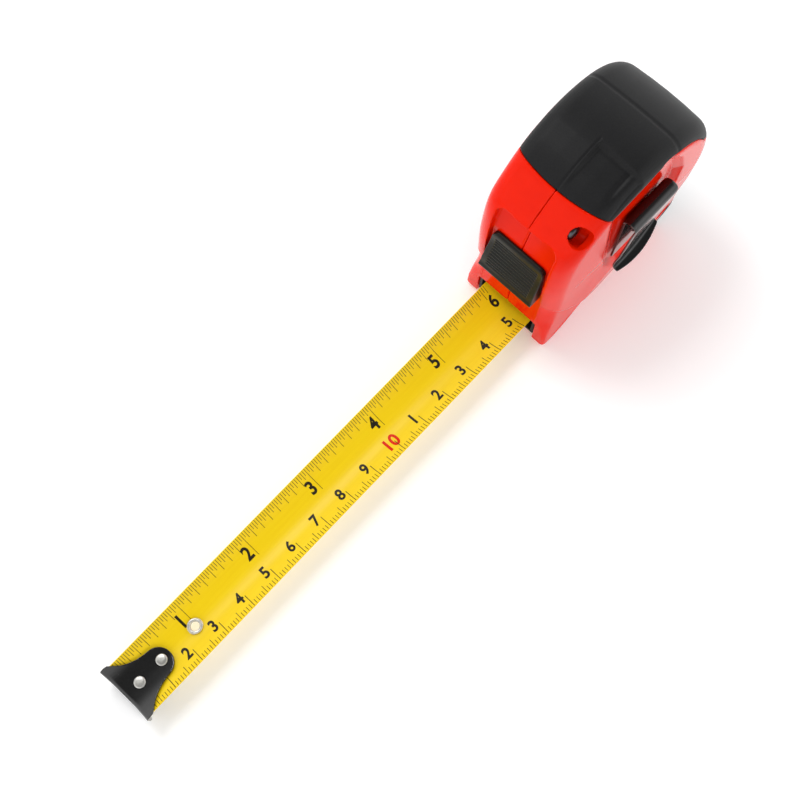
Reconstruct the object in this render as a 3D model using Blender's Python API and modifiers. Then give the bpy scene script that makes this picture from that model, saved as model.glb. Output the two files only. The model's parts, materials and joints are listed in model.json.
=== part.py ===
"""Pocket tape measure with a 5 m, 19 mm blade, drawn out to about 15 cm and locked.

Frame: +Z up, the case stands on Z = 0, the blade points along -Y, and the belt clip is on the +X side.
The parting plane of the case is X = 0. Sizes below are in millimetres.
"""

import math

import bmesh
import bpy

MM = 0.001

# Fits
GAP = 0.3  # between pieces that touch or are pressed together
SEAM = 0.3  # between the two case shells

# Case: the outline is drawn in the YZ plane, then rounded towards both sides
FRONT_Y = -27.2  # front face of the feet
HALF_WIDTH = 15.4  # at Y = 0
TAPER = 0.001  # the case widens towards the back, per mm
TUCK = 0.1  # how much narrower it gets low down at the back
FOOT_FLARE = 0.03  # how much wider it gets at the front feet
BACK_Y, BACK_Z = 0.5, 41.0  # centre of the round back
BACK_RADIUS = 34.5
HEEL_RADIUS = 9.0
HEEL_Y = 31.6
SHOULDER = 5.0
BASE_EDGE = 1.2
WALL = 2.0
FLOOR = 2.5
SIDE_INNER = 12.2  # inner face of the side walls, from the parting plane
CHEEK_Z = 29.0  # the cheeks beside the channel start here
CHEEK_RISE = 0.9

# Rubber grip
GRIP_THICK = 1.5
GRIP_FRONT = (-15.9, 70.2)
GRIP_BAND = 4.0  # how far it comes down the sides
GRIP_BACK_BAND = 2.0

# Mouth and blade
MOUTH_HALF = 10.8
MOUTH_TOP = 12.1
BLADE_CHORD = 17.34
BLADE_SAG = 3.3
BLADE_THICK = 0.25
BLADE_Z = 6.5  # underside of the blade at its middle
BLADE_OUT = 151.7  # from the mouth to the hook's inner face
BUMPER_WALL = 1.2
BUMPER_FLOOR_Z = 2.8

# Lock
CHANNEL_HALF = 10.1
CHANNEL_TOP = 60.5
CHANNEL_CORNER = 3.0
LOCK_TRAVEL = 7.5
BUTTON_BOTTOM_HALF = 9.6
BUTTON_TOP_HALF = 9.0
BUTTON_BOTTOM_Z = 31.3
BUTTON_TOP_Z = 48.6
STEM_HALF = 2.5
STEM_Z = 35.0
STEM_HIGH = 3.4
WEDGE_HALF = 4.5
WEDGE_THICK = 1.2
SHOE_HALF = 3.0

# Reel
REEL_Y, REEL_Z = 6.2, 36.5
COIL_RADIUS = 24.0
DRUM_RADIUS = 16.6
DRUM_WALL = 1.2
BLADE_WIDTH = 18.8
FLANGE_THICK = 0.7
FLANGE_RADIUS = 24.6
POST_RADIUS = 3.5
POST_SLOT = 1.1
RUNNING_GAP = 0.3
DISC_THICK = 0.4
SPRING_THICK = 0.35
SPRING_TURNS = 7
SPRING_WIDTH = 16.0

# Belt clip
CLIP_HALF = 8.7
CLIP_THICK = 1.0
CLIP_BEND_Z = 49.5
CLIP_BEND_RADIUS = 2.45
CLIP_LEG_BOTTOM = 24.0
CLIP_ROOT_GAP = 0.9  # lets the bend roll when the arm is pulled out
POCKET_DEPTH = 1.55

# Fasteners
SCREW_RADIUS = 1.3
HEAD_RADIUS = 2.8
HEAD_HIGH = 1.6
BOSS_RADIUS = 4.4
FRONT_SCREW = (-18.8, 63.6, 8.9)  # Y, Z and the X of the head's seat
REAR_SCREW = (25.0, 10.5, 11.9)
RIVET_RADIUS = 1.0
RIVET_HEAD = 1.65
RIVET_AT = (4.1, 12.3)  # from the hook's inner face
EYELET_AT = 24.8
EYELET_RADIUS = 2.35
HOOK_PLAY = 1.0

HOOK_Y = FRONT_Y - BLADE_OUT
POCKET_X = HALF_WIDTH * (1 + TAPER * REEL_Y) - POCKET_DEPTH
CLIP_BEND_X = POCKET_X + GAP + CLIP_BEND_RADIUS
BLADE_RADIUS = (BLADE_CHORD**2 / 4 + BLADE_SAG**2) / (2 * BLADE_SAG)

MATERIALS = {
    "red_plastic": ((0.78, 0.03, 0.01), 0.25, 0.0),
    "black_rubber": ((0.02, 0.02, 0.02), 0.6, 0.0),
    "black_plastic": ((0.025, 0.025, 0.025), 0.35, 0.0),
    "yellow_blade": ((0.9, 0.62, 0.03), 0.3, 0.0),
    "black_paint": ((0.015, 0.015, 0.015), 0.15, 0.2),
    "bright_steel": ((0.7, 0.7, 0.68), 0.3, 1.0),
    "spring_steel": ((0.25, 0.25, 0.27), 0.35, 1.0),
    "white_plastic": ((0.75, 0.75, 0.72), 0.4, 0.0),
    "brass": ((0.65, 0.5, 0.22), 0.3, 1.0),
}


# ---------------------------------------------------------------- scene and materials


def clear_scene():
    """Removes every object that the startup file holds."""
    for obj in list(bpy.data.objects):
        bpy.data.objects.remove(obj, do_unlink=True)


def new_collection(name):
    """A collection linked to the scene."""
    collection = bpy.data.collections.new(name)
    bpy.context.scene.collection.children.link(collection)
    return collection


def new_material(name):
    """A Principled material from the table of finishes."""
    colour, roughness, metallic = MATERIALS[name]
    material = bpy.data.materials.new(name)
    material.use_nodes = True
    shader = material.node_tree.nodes["Principled BSDF"]
    shader.inputs["Base Color"].default_value = (*colour, 1.0)
    shader.inputs["Roughness"].default_value = roughness
    shader.inputs["Metallic"].default_value = metallic
    return material


def add_part(obj, material):
    """Makes the object one of the assembly's pieces, smooth with sharp corners."""
    for collection in list(obj.users_collection):
        collection.objects.unlink(obj)
    PARTS.objects.link(obj)
    obj.data.materials.clear()
    obj.data.materials.append(FINISH[material])
    obj.data.shade_smooth()
    obj.data.set_sharp_from_angle(angle=math.radians(32))
    return obj


def as_cutter(obj):
    """Hides a tool shape from the build."""
    for collection in list(obj.users_collection):
        collection.objects.unlink(obj)
    CUTTERS.objects.link(obj)
    obj.hide_render = True
    obj.display_type = "WIRE"
    return obj


def boolean(target, tool, operation):
    """Adds an exact Boolean with a tool shape."""
    modifier = target.modifiers.new(tool.name, "BOOLEAN")
    modifier.operation = operation
    modifier.object = as_cutter(tool)
    modifier.solver = "EXACT"
    return target


def cut(target, *tools):
    """Takes tool shapes away from the target."""
    for tool in tools:
        boolean(target, tool, "DIFFERENCE")
    return target


def join(target, *tools):
    """Adds tool shapes to the target."""
    for tool in tools:
        boolean(target, tool, "UNION")
    return target


def keep(target, tool):
    """Keeps what the target shares with the tool shape."""
    return boolean(target, tool, "INTERSECT")


# ---------------------------------------------------------------- basic shapes


def object_from(name, mesh_data):
    """A new object from a bmesh, which is freed, with its faces pointing out."""
    bmesh.ops.recalc_face_normals(mesh_data, faces=mesh_data.faces)
    if mesh_data.calc_volume(signed=True) < 0:
        bmesh.ops.reverse_faces(mesh_data, faces=mesh_data.faces)
    mesh = bpy.data.meshes.new(name)
    mesh_data.to_mesh(mesh)
    mesh_data.free()
    obj = bpy.data.objects.new(name, mesh)
    bpy.context.scene.collection.objects.link(obj)
    return obj


def box(name, low, high):
    """A box between two corners."""
    data = bmesh.new()
    bmesh.ops.create_cube(data, size=1.0)
    for vertex in data.verts:
        for axis in range(3):
            middle = (low[axis] + high[axis]) / 2
            vertex.co[axis] = (middle + vertex.co[axis] * (high[axis] - low[axis])) * MM
    return object_from(name, data)


def rod(name, y, z, radius, x_low, x_high, segments=32, end_radius=None):
    """A cylinder or cone along X."""
    data = bmesh.new()
    top = radius if end_radius is None else end_radius
    bmesh.ops.create_cone(
        data,
        cap_ends=True,
        segments=segments,
        radius1=radius * MM,
        radius2=top * MM,
        depth=(x_high - x_low) * MM,
    )
    for vertex in data.verts:
        x, across, along = vertex.co
        vertex.co = (along + (x_low + x_high) / 2 * MM, x + y * MM, across + z * MM)
    return object_from(name, data)


def pin(name, x, y, radius, z_low, z_high, segments=24):
    """A cylinder along Z."""
    data = bmesh.new()
    bmesh.ops.create_cone(
        data,
        cap_ends=True,
        segments=segments,
        radius1=radius * MM,
        radius2=radius * MM,
        depth=(z_high - z_low) * MM,
    )
    for vertex in data.verts:
        vertex.co.x += x * MM
        vertex.co.y += y * MM
        vertex.co.z += (z_low + z_high) / 2 * MM
    return object_from(name, data)


def extrude_outline(name, outline, low, high, rotation, place):
    """A flat 2D curve, filled and extruded, turned into a welded mesh."""
    curve = bpy.data.curves.new(name, "CURVE")
    curve.dimensions = "2D"
    curve.fill_mode = "BOTH"
    curve.extrude = (high - low) / 2 * MM
    spline = curve.splines.new("POLY")
    spline.points.add(len(outline) - 1)
    for point, (across, up) in zip(spline.points, outline):
        point.co = (across * MM, up * MM, 0.0, 1.0)
    spline.use_cyclic_u = True
    flat = bpy.data.objects.new(name + "_outline", curve)
    bpy.context.scene.collection.objects.link(flat)
    flat.rotation_euler = rotation
    flat.location = place
    bpy.context.view_layer.update()
    graph = bpy.context.evaluated_depsgraph_get()
    mesh = bpy.data.meshes.new_from_object(flat.evaluated_get(graph))
    mesh.transform(flat.matrix_world)
    bpy.data.objects.remove(flat, do_unlink=True)
    data = bmesh.new()
    data.from_mesh(mesh)
    bpy.data.meshes.remove(mesh)
    bmesh.ops.remove_doubles(data, verts=data.verts, dist=0.000001)
    return object_from(name, data)


def slab_x(name, outline, x_low, x_high):
    """An outline of (Y, Z) points extruded along X."""
    turn = (math.pi / 2, 0.0, math.pi / 2)
    return extrude_outline(name, outline, x_low, x_high, turn, ((x_low + x_high) / 2 * MM, 0, 0))


def slab_y(name, outline, y_low, y_high):
    """An outline of (X, Z) points extruded along Y."""
    turn = (math.pi / 2, 0.0, 0.0)
    return extrude_outline(name, outline, y_low, y_high, turn, (0, (y_low + y_high) / 2 * MM, 0))


def turned(name, profile, y, z, steps):
    """A ring about the X axis through (y, z), from a closed profile of (x, radius) points."""
    data = bmesh.new()
    loop = [data.verts.new((radius * MM, 0.0, x * MM)) for x, radius in profile]
    for start, end in zip(loop, loop[1:] + loop[:1]):
        data.edges.new((start, end))
    mesh = bpy.data.meshes.new(name)
    data.to_mesh(mesh)
    data.free()
    obj = bpy.data.objects.new(name, mesh)
    bpy.context.scene.collection.objects.link(obj)
    obj.rotation_euler = (math.pi / 2, 0.0, math.pi / 2)
    obj.location = (0.0, y * MM, z * MM)
    screw = obj.modifiers.new("turn", "SCREW")
    screw.steps = steps
    screw.render_steps = steps
    screw.use_merge_vertices = True
    screw.merge_threshold = 0.00001
    return obj


def arc(centre, radius, start, end, steps):
    """Points on an arc, angles in degrees from the first axis to the second."""
    points = []
    for step in range(steps + 1):
        angle = math.radians(start + (end - start) * step / steps)
        points.append((centre[0] + radius * math.cos(angle), centre[1] + radius * math.sin(angle)))
    return points


def grow(outline, distance):
    """The outline moved out by a distance, mitred at its corners. It runs anticlockwise."""
    grown = []
    count = len(outline)
    for index, (across, up) in enumerate(outline):
        before = outline[index - 1]
        after = outline[(index + 1) % count]
        first = unit(across - before[0], up - before[1])
        second = unit(after[0] - across, after[1] - up)
        normal = unit(first[1] + second[1], -first[0] - second[0])
        stretch = max(0.5, normal[0] * first[1] - normal[1] * first[0])
        grown.append((across + normal[0] * distance / stretch, up + normal[1] * distance / stretch))
    return grown


def unit(across, up):
    """A direction of length one."""
    length = math.hypot(across, up)
    return across / length, up / length


def smooth(value):
    """An S-shaped step from 0 to 1."""
    value = min(1.0, max(0.0, value))
    return value * value * (3 - 2 * value)


def ribbon(name, rows, columns=8):
    """A strip lofted along Y. A row is (y, half width, z of the underside, sag radius, thickness)."""
    data = bmesh.new()
    rings = []
    for y, half, z_low, radius, thick in rows:
        under = []
        over = []
        for column in range(columns + 1):
            x = half * (2 * column / columns - 1)
            z = z_low + radius - math.sqrt(radius**2 - x**2)
            under.append(data.verts.new((x * MM, y * MM, z * MM)))
            over.append(data.verts.new((x * MM, y * MM, (z + thick) * MM)))
        rings.append(under + over[::-1])
    for first, second in zip(rings, rings[1:]):
        for index in range(len(first)):
            after = (index + 1) % len(first)
            data.faces.new((first[index], first[after], second[after], second[index]))
    for ring in (rings[0], rings[-1]):
        for column in range(columns):
            data.faces.new((ring[column], ring[column + 1], ring[-2 - column], ring[-1 - column]))
    return object_from(name, data)


# ---------------------------------------------------------------- case outline


def floor_line_y(z):
    """Y of the lock channel's floor, which leans back and bends near its top."""
    if z < 49.0:
        return FRONT_Y + 0.2 + 0.0466 * (z - 18.0)
    return floor_line_y(48.999) + 0.29 * (z - 49.0)


def case_outline():
    """The case seen from the clip side, anticlockwise in (Y, Z), at the parting plane."""
    front = FRONT_Y
    cheek = front - CHEEK_RISE
    points = [(front + 1.0, 0.0), (HEEL_Y - HEEL_RADIUS, 0.0)]
    points += arc((HEEL_Y - HEEL_RADIUS, HEEL_RADIUS), HEEL_RADIUS, -75, -15, 4)
    points += [(HEEL_Y + 1.6, 20.0), (HEEL_Y + 2.9, 29.0)]
    points += arc((BACK_Y, BACK_Z), BACK_RADIUS, -8, 96, 16)
    points += [(-9.6, 73.6), GRIP_FRONT, (-20.6, 65.9), (-24.6, 61.2)]
    points += [(cheek + 1.3, 56.0), (cheek + 0.3, 49.0), (cheek, 41.0), (cheek + 0.1, 33.5)]
    points += [(front - 0.4, CHEEK_Z), (front, CHEEK_Z - 3.0), (front, 1.0)]
    return points


def shoulder_radius(z):
    """How round the edge between the outline and the side is."""
    rise = smooth((z - 5.0) / 16.0)
    return BASE_EDGE + (SHOULDER - BASE_EDGE) * rise


def width_share(y, z):
    """How the width varies: tucked in low down at the back, flared at the front feet."""
    tuck = TUCK * (1 - smooth(z / 38.0)) * smooth((y + 24.0) / 30.0)
    flare = FOOT_FLARE * (1 - smooth(z / 26.0)) * (1 - smooth((y + 24.0) / 19.0))
    return (1 + TAPER * y) * (1 - tuck + flare)


def rounded_case(name, inset, x_low=-1, x_high=1):
    """The case's outer form, or one inside it, with round shoulders and the sides' taper."""
    data = bmesh.new()
    outline = case_outline()
    angles = [90, 62, 36, 14, 0]
    rings = []
    sections = [(x_low, angle) for angle in angles] + [(x_high, angle) for angle in angles[::-1]]
    for side, angle in sections:
        ring = []
        turn = math.radians(angle)
        depths = []
        for y, z in outline:
            radius = max(0.4, shoulder_radius(z) - inset)
            depths.append((inset + radius * (1 - math.cos(turn)), radius))
        for index, (depth, radius) in enumerate(depths):
            y, z = grow(outline, -depth)[index]
            x = side * (HALF_WIDTH - inset - radius * (1 - math.sin(turn)))
            ring.append(data.verts.new((x * width_share(y, z) * MM, y * MM, z * MM)))
        rings.append(ring)
    for first, second in zip(rings, rings[1:]):
        for index in range(len(first)):
            after = (index + 1) % len(first)
            data.faces.new((first[index], first[after], second[after], second[index]))
    data.faces.new(rings[0])
    data.faces.new(rings[-1][::-1])
    return object_from(name, data)


def half_tool(name, side):
    """Everything beyond the parting plane, which one shell leaves to the other."""
    edge = -side * SEAM / 2
    far = -side * 40.0
    return box(name, (min(-edge, far), -50, -20), (max(-edge, far), 60, 100))


def grip_outline(spare):
    """The part of the side view that rubber covers, grown by a spare distance."""
    band = GRIP_BAND
    radius = BACK_RADIUS - band
    inner = [GRIP_FRONT, (-13.6, 66.9), (-11.6, 66.2), (0.0, 68.9)]
    inner += arc((BACK_Y, BACK_Z), radius, 76, 26, 8)
    back = BACK_RADIUS - GRIP_BACK_BAND
    inner += [(BACK_Y + back - 2.6, BACK_Z + 10.5), (BACK_Y + back - 0.3, BACK_Z + 5.0)]
    inner += [(BACK_Y + back, BACK_Z - 6.0), (HEEL_Y - 0.4, 20.0), (HEEL_Y - 2.4, 9.6)]
    inner += [(HEEL_Y - 4.6, 4.4), (HEEL_Y + 6.0, -4.0)]
    outer = [(60.0, -4.0), (60.0, 100.0), (GRIP_FRONT[0] - 6.0, 78.0)]
    return grow(inner + outer, spare)


# ---------------------------------------------------------------- case shells and grips


def cavity(name):
    """The hollow that holds the reel and the lock, open to the mouth."""
    front = [(floor_line_y(z) + WALL, z) for z in (13.5, 30.0, 48.9, 56.0)]
    screw_y, screw_z, _ = FRONT_SCREW
    front += arc((screw_y, screw_z), HEAD_RADIUS + GAP + 1.2, -95, 5, 5)
    top = arc((BACK_Y, BACK_Z), BACK_RADIUS - GRIP_THICK - WALL, 110, -8, 17)
    rear = [(HEEL_Y - 0.7, 29.0), (HEEL_Y - 2.0, 20.0), (HEEL_Y - 4.6, 10.0), (HEEL_Y - 8.5, FLOOR)]
    outline = [(FRONT_Y + 4.2, FLOOR), (FRONT_Y + 4.2, MOUTH_TOP)] + front + top + rear
    return slab_x(name, outline[::-1], -SIDE_INNER, SIDE_INNER)


def mouth_tool(name):
    """The blade's way out between the feet, and the open notch in front of the floor."""
    sill = FLOOR + 0.15
    outline = [(-40.0, -5.0), (FRONT_Y + 1.7, -5.0), (FRONT_Y + 1.7, sill)]
    outline += [(FRONT_Y + 6.0, sill), (FRONT_Y + 6.0, MOUTH_TOP + 0.1), (-40.0, MOUTH_TOP)]
    return slab_x(name, outline, -MOUTH_HALF, MOUTH_HALF)


def channel_tool(name):
    """The recess that the lock button slides in."""
    half, corner = CHANNEL_HALF, CHANNEL_CORNER
    front = [(-half, 10.0), (half, 10.0)]
    front += arc((half - corner, CHANNEL_TOP - corner), corner, 0, 90, 4)
    front += arc((corner - half, CHANNEL_TOP - corner), corner, 90, 180, 4)
    tool = slab_y(name, front, -45.0, -12.0)
    floor = [(floor_line_y(z), z) for z in (0.0, 48.999, 70.0)]
    return cut(tool, slab_x(name + "_floor", [(0.0, 0.0), (0.0, 70.0)] + floor[::-1], -30, 30))


def slot_tool(name):
    """The slot that the lock's stem slides in."""
    low = STEM_Z - 2 * GAP
    high = STEM_Z + STEM_HIGH + LOCK_TRAVEL + 2 * GAP
    half = STEM_HALF + GAP
    return box(name, (-half, -32.0, low), (half, -18.0, high))


def grip_seat(name):
    """Where the shells are sunk to take the rubber."""
    seat = slab_x(name, grip_outline(GAP), -40.0, 40.0)
    return cut(seat, rounded_case(name + "_core", GRIP_THICK + GAP))


def pocket_outline():
    """The clip pocket in the right side, in (Y, Z)."""
    front, back = REEL_Y - CLIP_HALF - 5.4, REEL_Y + CLIP_HALF + 3.6
    return [
        (front + 6.5, 13.0),
        (back - 4.0, 13.0),
        (back, 17.0),
        (back, 57.0),
        (back - 4.5, 62.8),
        (front + 2.0, 63.2),
        (front, 60.0),
        (front + 0.4, 36.0),
    ]


def shell(name, side):
    """One half of the red case, with its wall, floor, feet, bosses and recesses."""
    body = rounded_case(name, 0.0)
    cut(body, half_tool(name + "_half", side), grip_seat(name + "_grip_seat"))
    cut(body, cavity(name + "_cavity"))
    inner = SEAM / 2
    rear_y, rear_z, _ = REAR_SCREW
    low, high = sorted((side * inner, side * (SIDE_INNER + 0.5)))
    join(body, rod(name + "_rear_boss", rear_y, rear_z, BOSS_RADIUS, low, high, 24))
    low, high = sorted((side * (SIDE_INNER - 0.9), side * (SIDE_INNER + 0.5)))
    join(body, rod(name + "_post_boss", REEL_Y, REEL_Z, POST_RADIUS + 1.9, low, high, 32))
    low, high = sorted((side * (SIDE_INNER - 2.0), side * (SIDE_INNER - GAP)))
    cut(body, rod(name + "_post_seat", REEL_Y, REEL_Z, POST_RADIUS + GAP, low, high, 32))
    cut(body, mouth_tool(name + "_mouth"), channel_tool(name + "_channel"))
    cut(body, slot_tool(name + "_slot"))
    hole = SCREW_RADIUS + GAP
    low, high = sorted((side * 6.0, side * 20.0))
    cut(body, rod(name + "_post_hole", REEL_Y, REEL_Z, hole, low, high, 20))
    for label, (y, z, seat) in (("front", FRONT_SCREW), ("rear", REAR_SCREW)):
        start = 0.0 if side > 0 else -9.0
        end = 20.0 if side > 0 else 0.0
        cut(body, rod(f"{name}_{label}_hole", y, z, hole, start, end, 20))
        if side > 0:
            cut(body, rod(f"{name}_{label}_head", y, z, HEAD_RADIUS + GAP, seat, 25.0, 28))
    if side > 0:
        cut(body, slab_x(name + "_pocket", pocket_outline(), POCKET_X, 25.0))
    else:
        cut(body, rod(name + "_post_head", REEL_Y, REEL_Z, HEAD_RADIUS + GAP, -25.0, -13.2, 28))
    return add_part(body, "red_plastic")


def grip(name, side):
    """One half of the rubber grip over the top and back."""
    body = slab_x(name, grip_outline(0.0), -38.0, 38.0)
    cut(body, half_tool(name + "_half", side), rounded_case(name + "_core", GRIP_THICK))
    keep(body, rounded_case(name + "_skin", 0.0))
    return add_part(body, "black_rubber")


def mouth_bumper():
    """The black insert that lines the mouth under and beside the blade."""
    half = MOUTH_HALF - GAP
    inner = half - BUMPER_WALL + 0.3
    top = MOUTH_TOP - GAP
    floor_top = BUMPER_FLOOR_Z + BUMPER_WALL
    outline = [(-half, BUMPER_FLOOR_Z), (half, BUMPER_FLOOR_Z), (half, top), (inner, top)]
    outline += [(inner, floor_top), (-inner, floor_top), (-inner, top), (-half, top)]
    body = slab_y("mouth_bumper", outline, FRONT_Y + 0.4, FRONT_Y + 3.6)
    return add_part(body, "black_rubber")


# ---------------------------------------------------------------- lock


def lock_button():
    """The ribbed thumb piece, wider and thicker at its lower lip."""
    low, high = BUTTON_BOTTOM_Z, BUTTON_TOP_Z
    back_low = floor_line_y(low) - GAP
    back_high = floor_line_y(high) - GAP
    outline = [(back_low, low), (back_high, high - 0.4), (back_high - 0.3, high)]
    outline += [(back_high - 1.0, high - 0.1), (back_high - 1.5, high - 0.9), (back_high - 2.1, high - 5.0)]
    outline += [(back_low - 3.5, low + 5.0), (back_low - 4.3, low + 1.5)]
    outline += [(back_low - 4.4, low + 0.6), (back_low - 3.9, low)]
    body = slab_x("lock_button", outline, -BUTTON_BOTTOM_HALF, BUTTON_BOTTOM_HALF)
    top, corner = BUTTON_TOP_HALF, 2.2
    front = [(-BUTTON_BOTTOM_HALF, low - 1.0), (BUTTON_BOTTOM_HALF, low - 1.0)]
    front += arc((top - corner, high + 0.2 - corner), corner, 5, 90, 4)
    front += arc((corner - top, high + 0.2 - corner), corner, 90, 175, 4)
    keep(body, slab_y("lock_button_front", front, -40.0, -15.0))
    seat = box(
        "lock_button_seat",
        (-STEM_HALF - GAP, -28.6, STEM_Z - GAP),
        (STEM_HALF + GAP, -20.0, STEM_Z + STEM_HIGH + GAP),
    )
    return add_part(cut(body, seat), "black_plastic")


def lock_wedge():
    """The stem, leaf and shoe behind the front wall, which press on the blade."""
    plate = WALL + GAP
    outer = [(floor_line_y(z) + plate, z) for z in (41.8, 24.0)]
    outer += [(FRONT_Y + 4.0, 17.0), (FRONT_Y + 6.6, 12.6), (-15.6, 10.2), (-12.0, 8.6)]
    shoe = BLADE_Z + BLADE_THICK + 0.7
    outer += [(-10.6, shoe), (-9.0, shoe)]
    inner = [(-8.8, 9.2), (-11.4, 9.9), (-15.0, 11.6), (FRONT_Y + 7.6, 13.9), (FRONT_Y + 5.2, 18.0)]
    inner += [(floor_line_y(z) + plate + WEDGE_THICK, z) for z in (25.0, 41.8)]
    body = slab_x("lock_wedge", outer + inner, -WEDGE_HALF, WEDGE_HALF)
    for side in (-1, 1):
        low, high = sorted((side * SHOE_HALF, side * 20.0))
        cut(body, box(f"lock_wedge_trim_{low:.0f}", (low, -30.0, 0.0), (high, 0.0, 16.0)))
    stem = box(
        "lock_stem",
        (-STEM_HALF, -28.3, STEM_Z),
        (STEM_HALF, floor_line_y(STEM_Z) + plate + 0.5, STEM_Z + STEM_HIGH),
    )
    return add_part(join(body, stem), "black_plastic")


# ---------------------------------------------------------------- reel


def ring_profile(x_low, x_high, inner, outer):
    """A rectangular section for a turned ring, running down its outer side."""
    return [(x_high, outer), (x_low, outer), (x_low, inner), (x_high, inner)]


def reel_drum():
    """The drum that holds the spring, with its left flange."""
    bore = POST_RADIUS + RUNNING_GAP
    half = BLADE_WIDTH / 2
    face = half + GAP
    back = face + FLANGE_THICK
    inner = DRUM_RADIUS - DRUM_WALL
    profile = [(half, DRUM_RADIUS), (-face, DRUM_RADIUS), (-face, FLANGE_RADIUS)]
    profile += [(-back, FLANGE_RADIUS), (-back, bore), (-face, bore), (-face, inner), (half, inner)]
    return add_part(turned("reel_drum", profile, REEL_Y, REEL_Z, 48), "white_plastic")


def reel_cover():
    """The reel's right flange, snapped to the drum."""
    low = BLADE_WIDTH / 2 + GAP
    profile = ring_profile(low, low + FLANGE_THICK, POST_RADIUS + RUNNING_GAP, FLANGE_RADIUS)
    return add_part(turned("reel_cover", profile, REEL_Y, REEL_Z, 48), "white_plastic")


def wound_blade():
    """The blade that is still on the reel, wound flat."""
    half = BLADE_WIDTH / 2
    profile = ring_profile(-half, half, DRUM_RADIUS + GAP, COIL_RADIUS)
    return add_part(turned("wound_blade", profile, REEL_Y, REEL_Z, 48), "yellow_blade")


def power_spring():
    """The spiral spring between the post's slot and the drum."""
    start, end = POST_RADIUS + 1.2, DRUM_RADIUS - DRUM_WALL - 0.6
    steps = SPRING_TURNS * 16
    path = [(0.9, 0.0), (start - 0.5, 0.0)]
    for step in range(steps + 1):
        angle = math.tau * SPRING_TURNS * step / steps
        radius = start + (end - start) * step / steps
        path.append((radius * math.cos(angle + 0.15), radius * math.sin(angle + 0.15)))
    half = SPRING_THICK / 2
    left, right = [], []
    for index, (y, z) in enumerate(path):
        before = path[max(0, index - 1)]
        after = path[min(len(path) - 1, index + 1)]
        along = unit(after[0] - before[0], after[1] - before[1])
        left.append((REEL_Y + y - along[1] * half, REEL_Z + z + along[0] * half))
        right.append((REEL_Y + y + along[1] * half, REEL_Z + z - along[0] * half))
    body = slab_x("power_spring", right + left[::-1], -SPRING_WIDTH / 2, SPRING_WIDTH / 2)
    return add_part(body, "spring_steel")


def centre_post():
    """The fixed arbor, slotted for the spring and bored for the screws."""
    end = SIDE_INNER - 2 * GAP
    body = rod("centre_post", REEL_Y, REEL_Z, POST_RADIUS, -end, end, 32)
    slot = box(
        "centre_post_slot",
        (-SPRING_WIDTH / 2 - GAP, REEL_Y, REEL_Z - POST_SLOT / 2),
        (SPRING_WIDTH / 2 + GAP, REEL_Y + 6.0, REEL_Z + POST_SLOT / 2),
    )
    cut(body, slot)
    for label, low, high in (("left", -14.0, -8.6), ("right", 8.6, 14.0)):
        cut(body, rod(f"centre_post_{label}", REEL_Y, REEL_Z, SCREW_RADIUS + GAP, low, high, 20))
    return add_part(body, "spring_steel")


def sliding_disc(name, side):
    """A thin disc between the reel and a shell."""
    face = SIDE_INNER - 1.05
    low, high = sorted((side * face, side * (face - DISC_THICK)))
    profile = ring_profile(low, high, POST_RADIUS + 1.9 + GAP, FLANGE_RADIUS - 0.5)
    return add_part(turned(name, profile, REEL_Y, REEL_Z, 40), "white_plastic")


# ---------------------------------------------------------------- blade, hook and rivets


def blade_strip():
    """The drawn-out blade: straight to the mouth, then up to the reel while it flattens."""
    start = HOOK_Y + 0.5
    bend = -9.0
    end = REEL_Y - 0.6
    top = REEL_Z - COIL_RADIUS - GAP - BLADE_THICK - 0.1
    chord = BLADE_CHORD / 2
    rows = [(y, chord, BLADE_Z, BLADE_RADIUS, BLADE_THICK) for y in (start, -100.0, -40.0, bend)]
    for step in range(1, 7):
        share = step / 6
        rise = smooth(share) * (top - BLADE_Z)
        half = chord + (BLADE_WIDTH / 2 - chord) * share
        radius = BLADE_RADIUS / max(0.04, 1 - share)
        rows.append((bend + (end - bend) * share, half, BLADE_Z + rise, radius, BLADE_THICK))
    body = ribbon("blade_strip", rows, 10)
    for index, distance in enumerate(RIVET_AT):
        hole = pin(f"blade_hole_{index}", 0, HOOK_Y + distance, RIVET_RADIUS + GAP, 3, 12, 20)
        cut(body, hole)
    cut(body, pin("blade_eyelet_hole", 0, HOOK_Y + EYELET_AT, 1.9, 3, 12, 24))
    return add_part(body, "yellow_blade")


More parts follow.
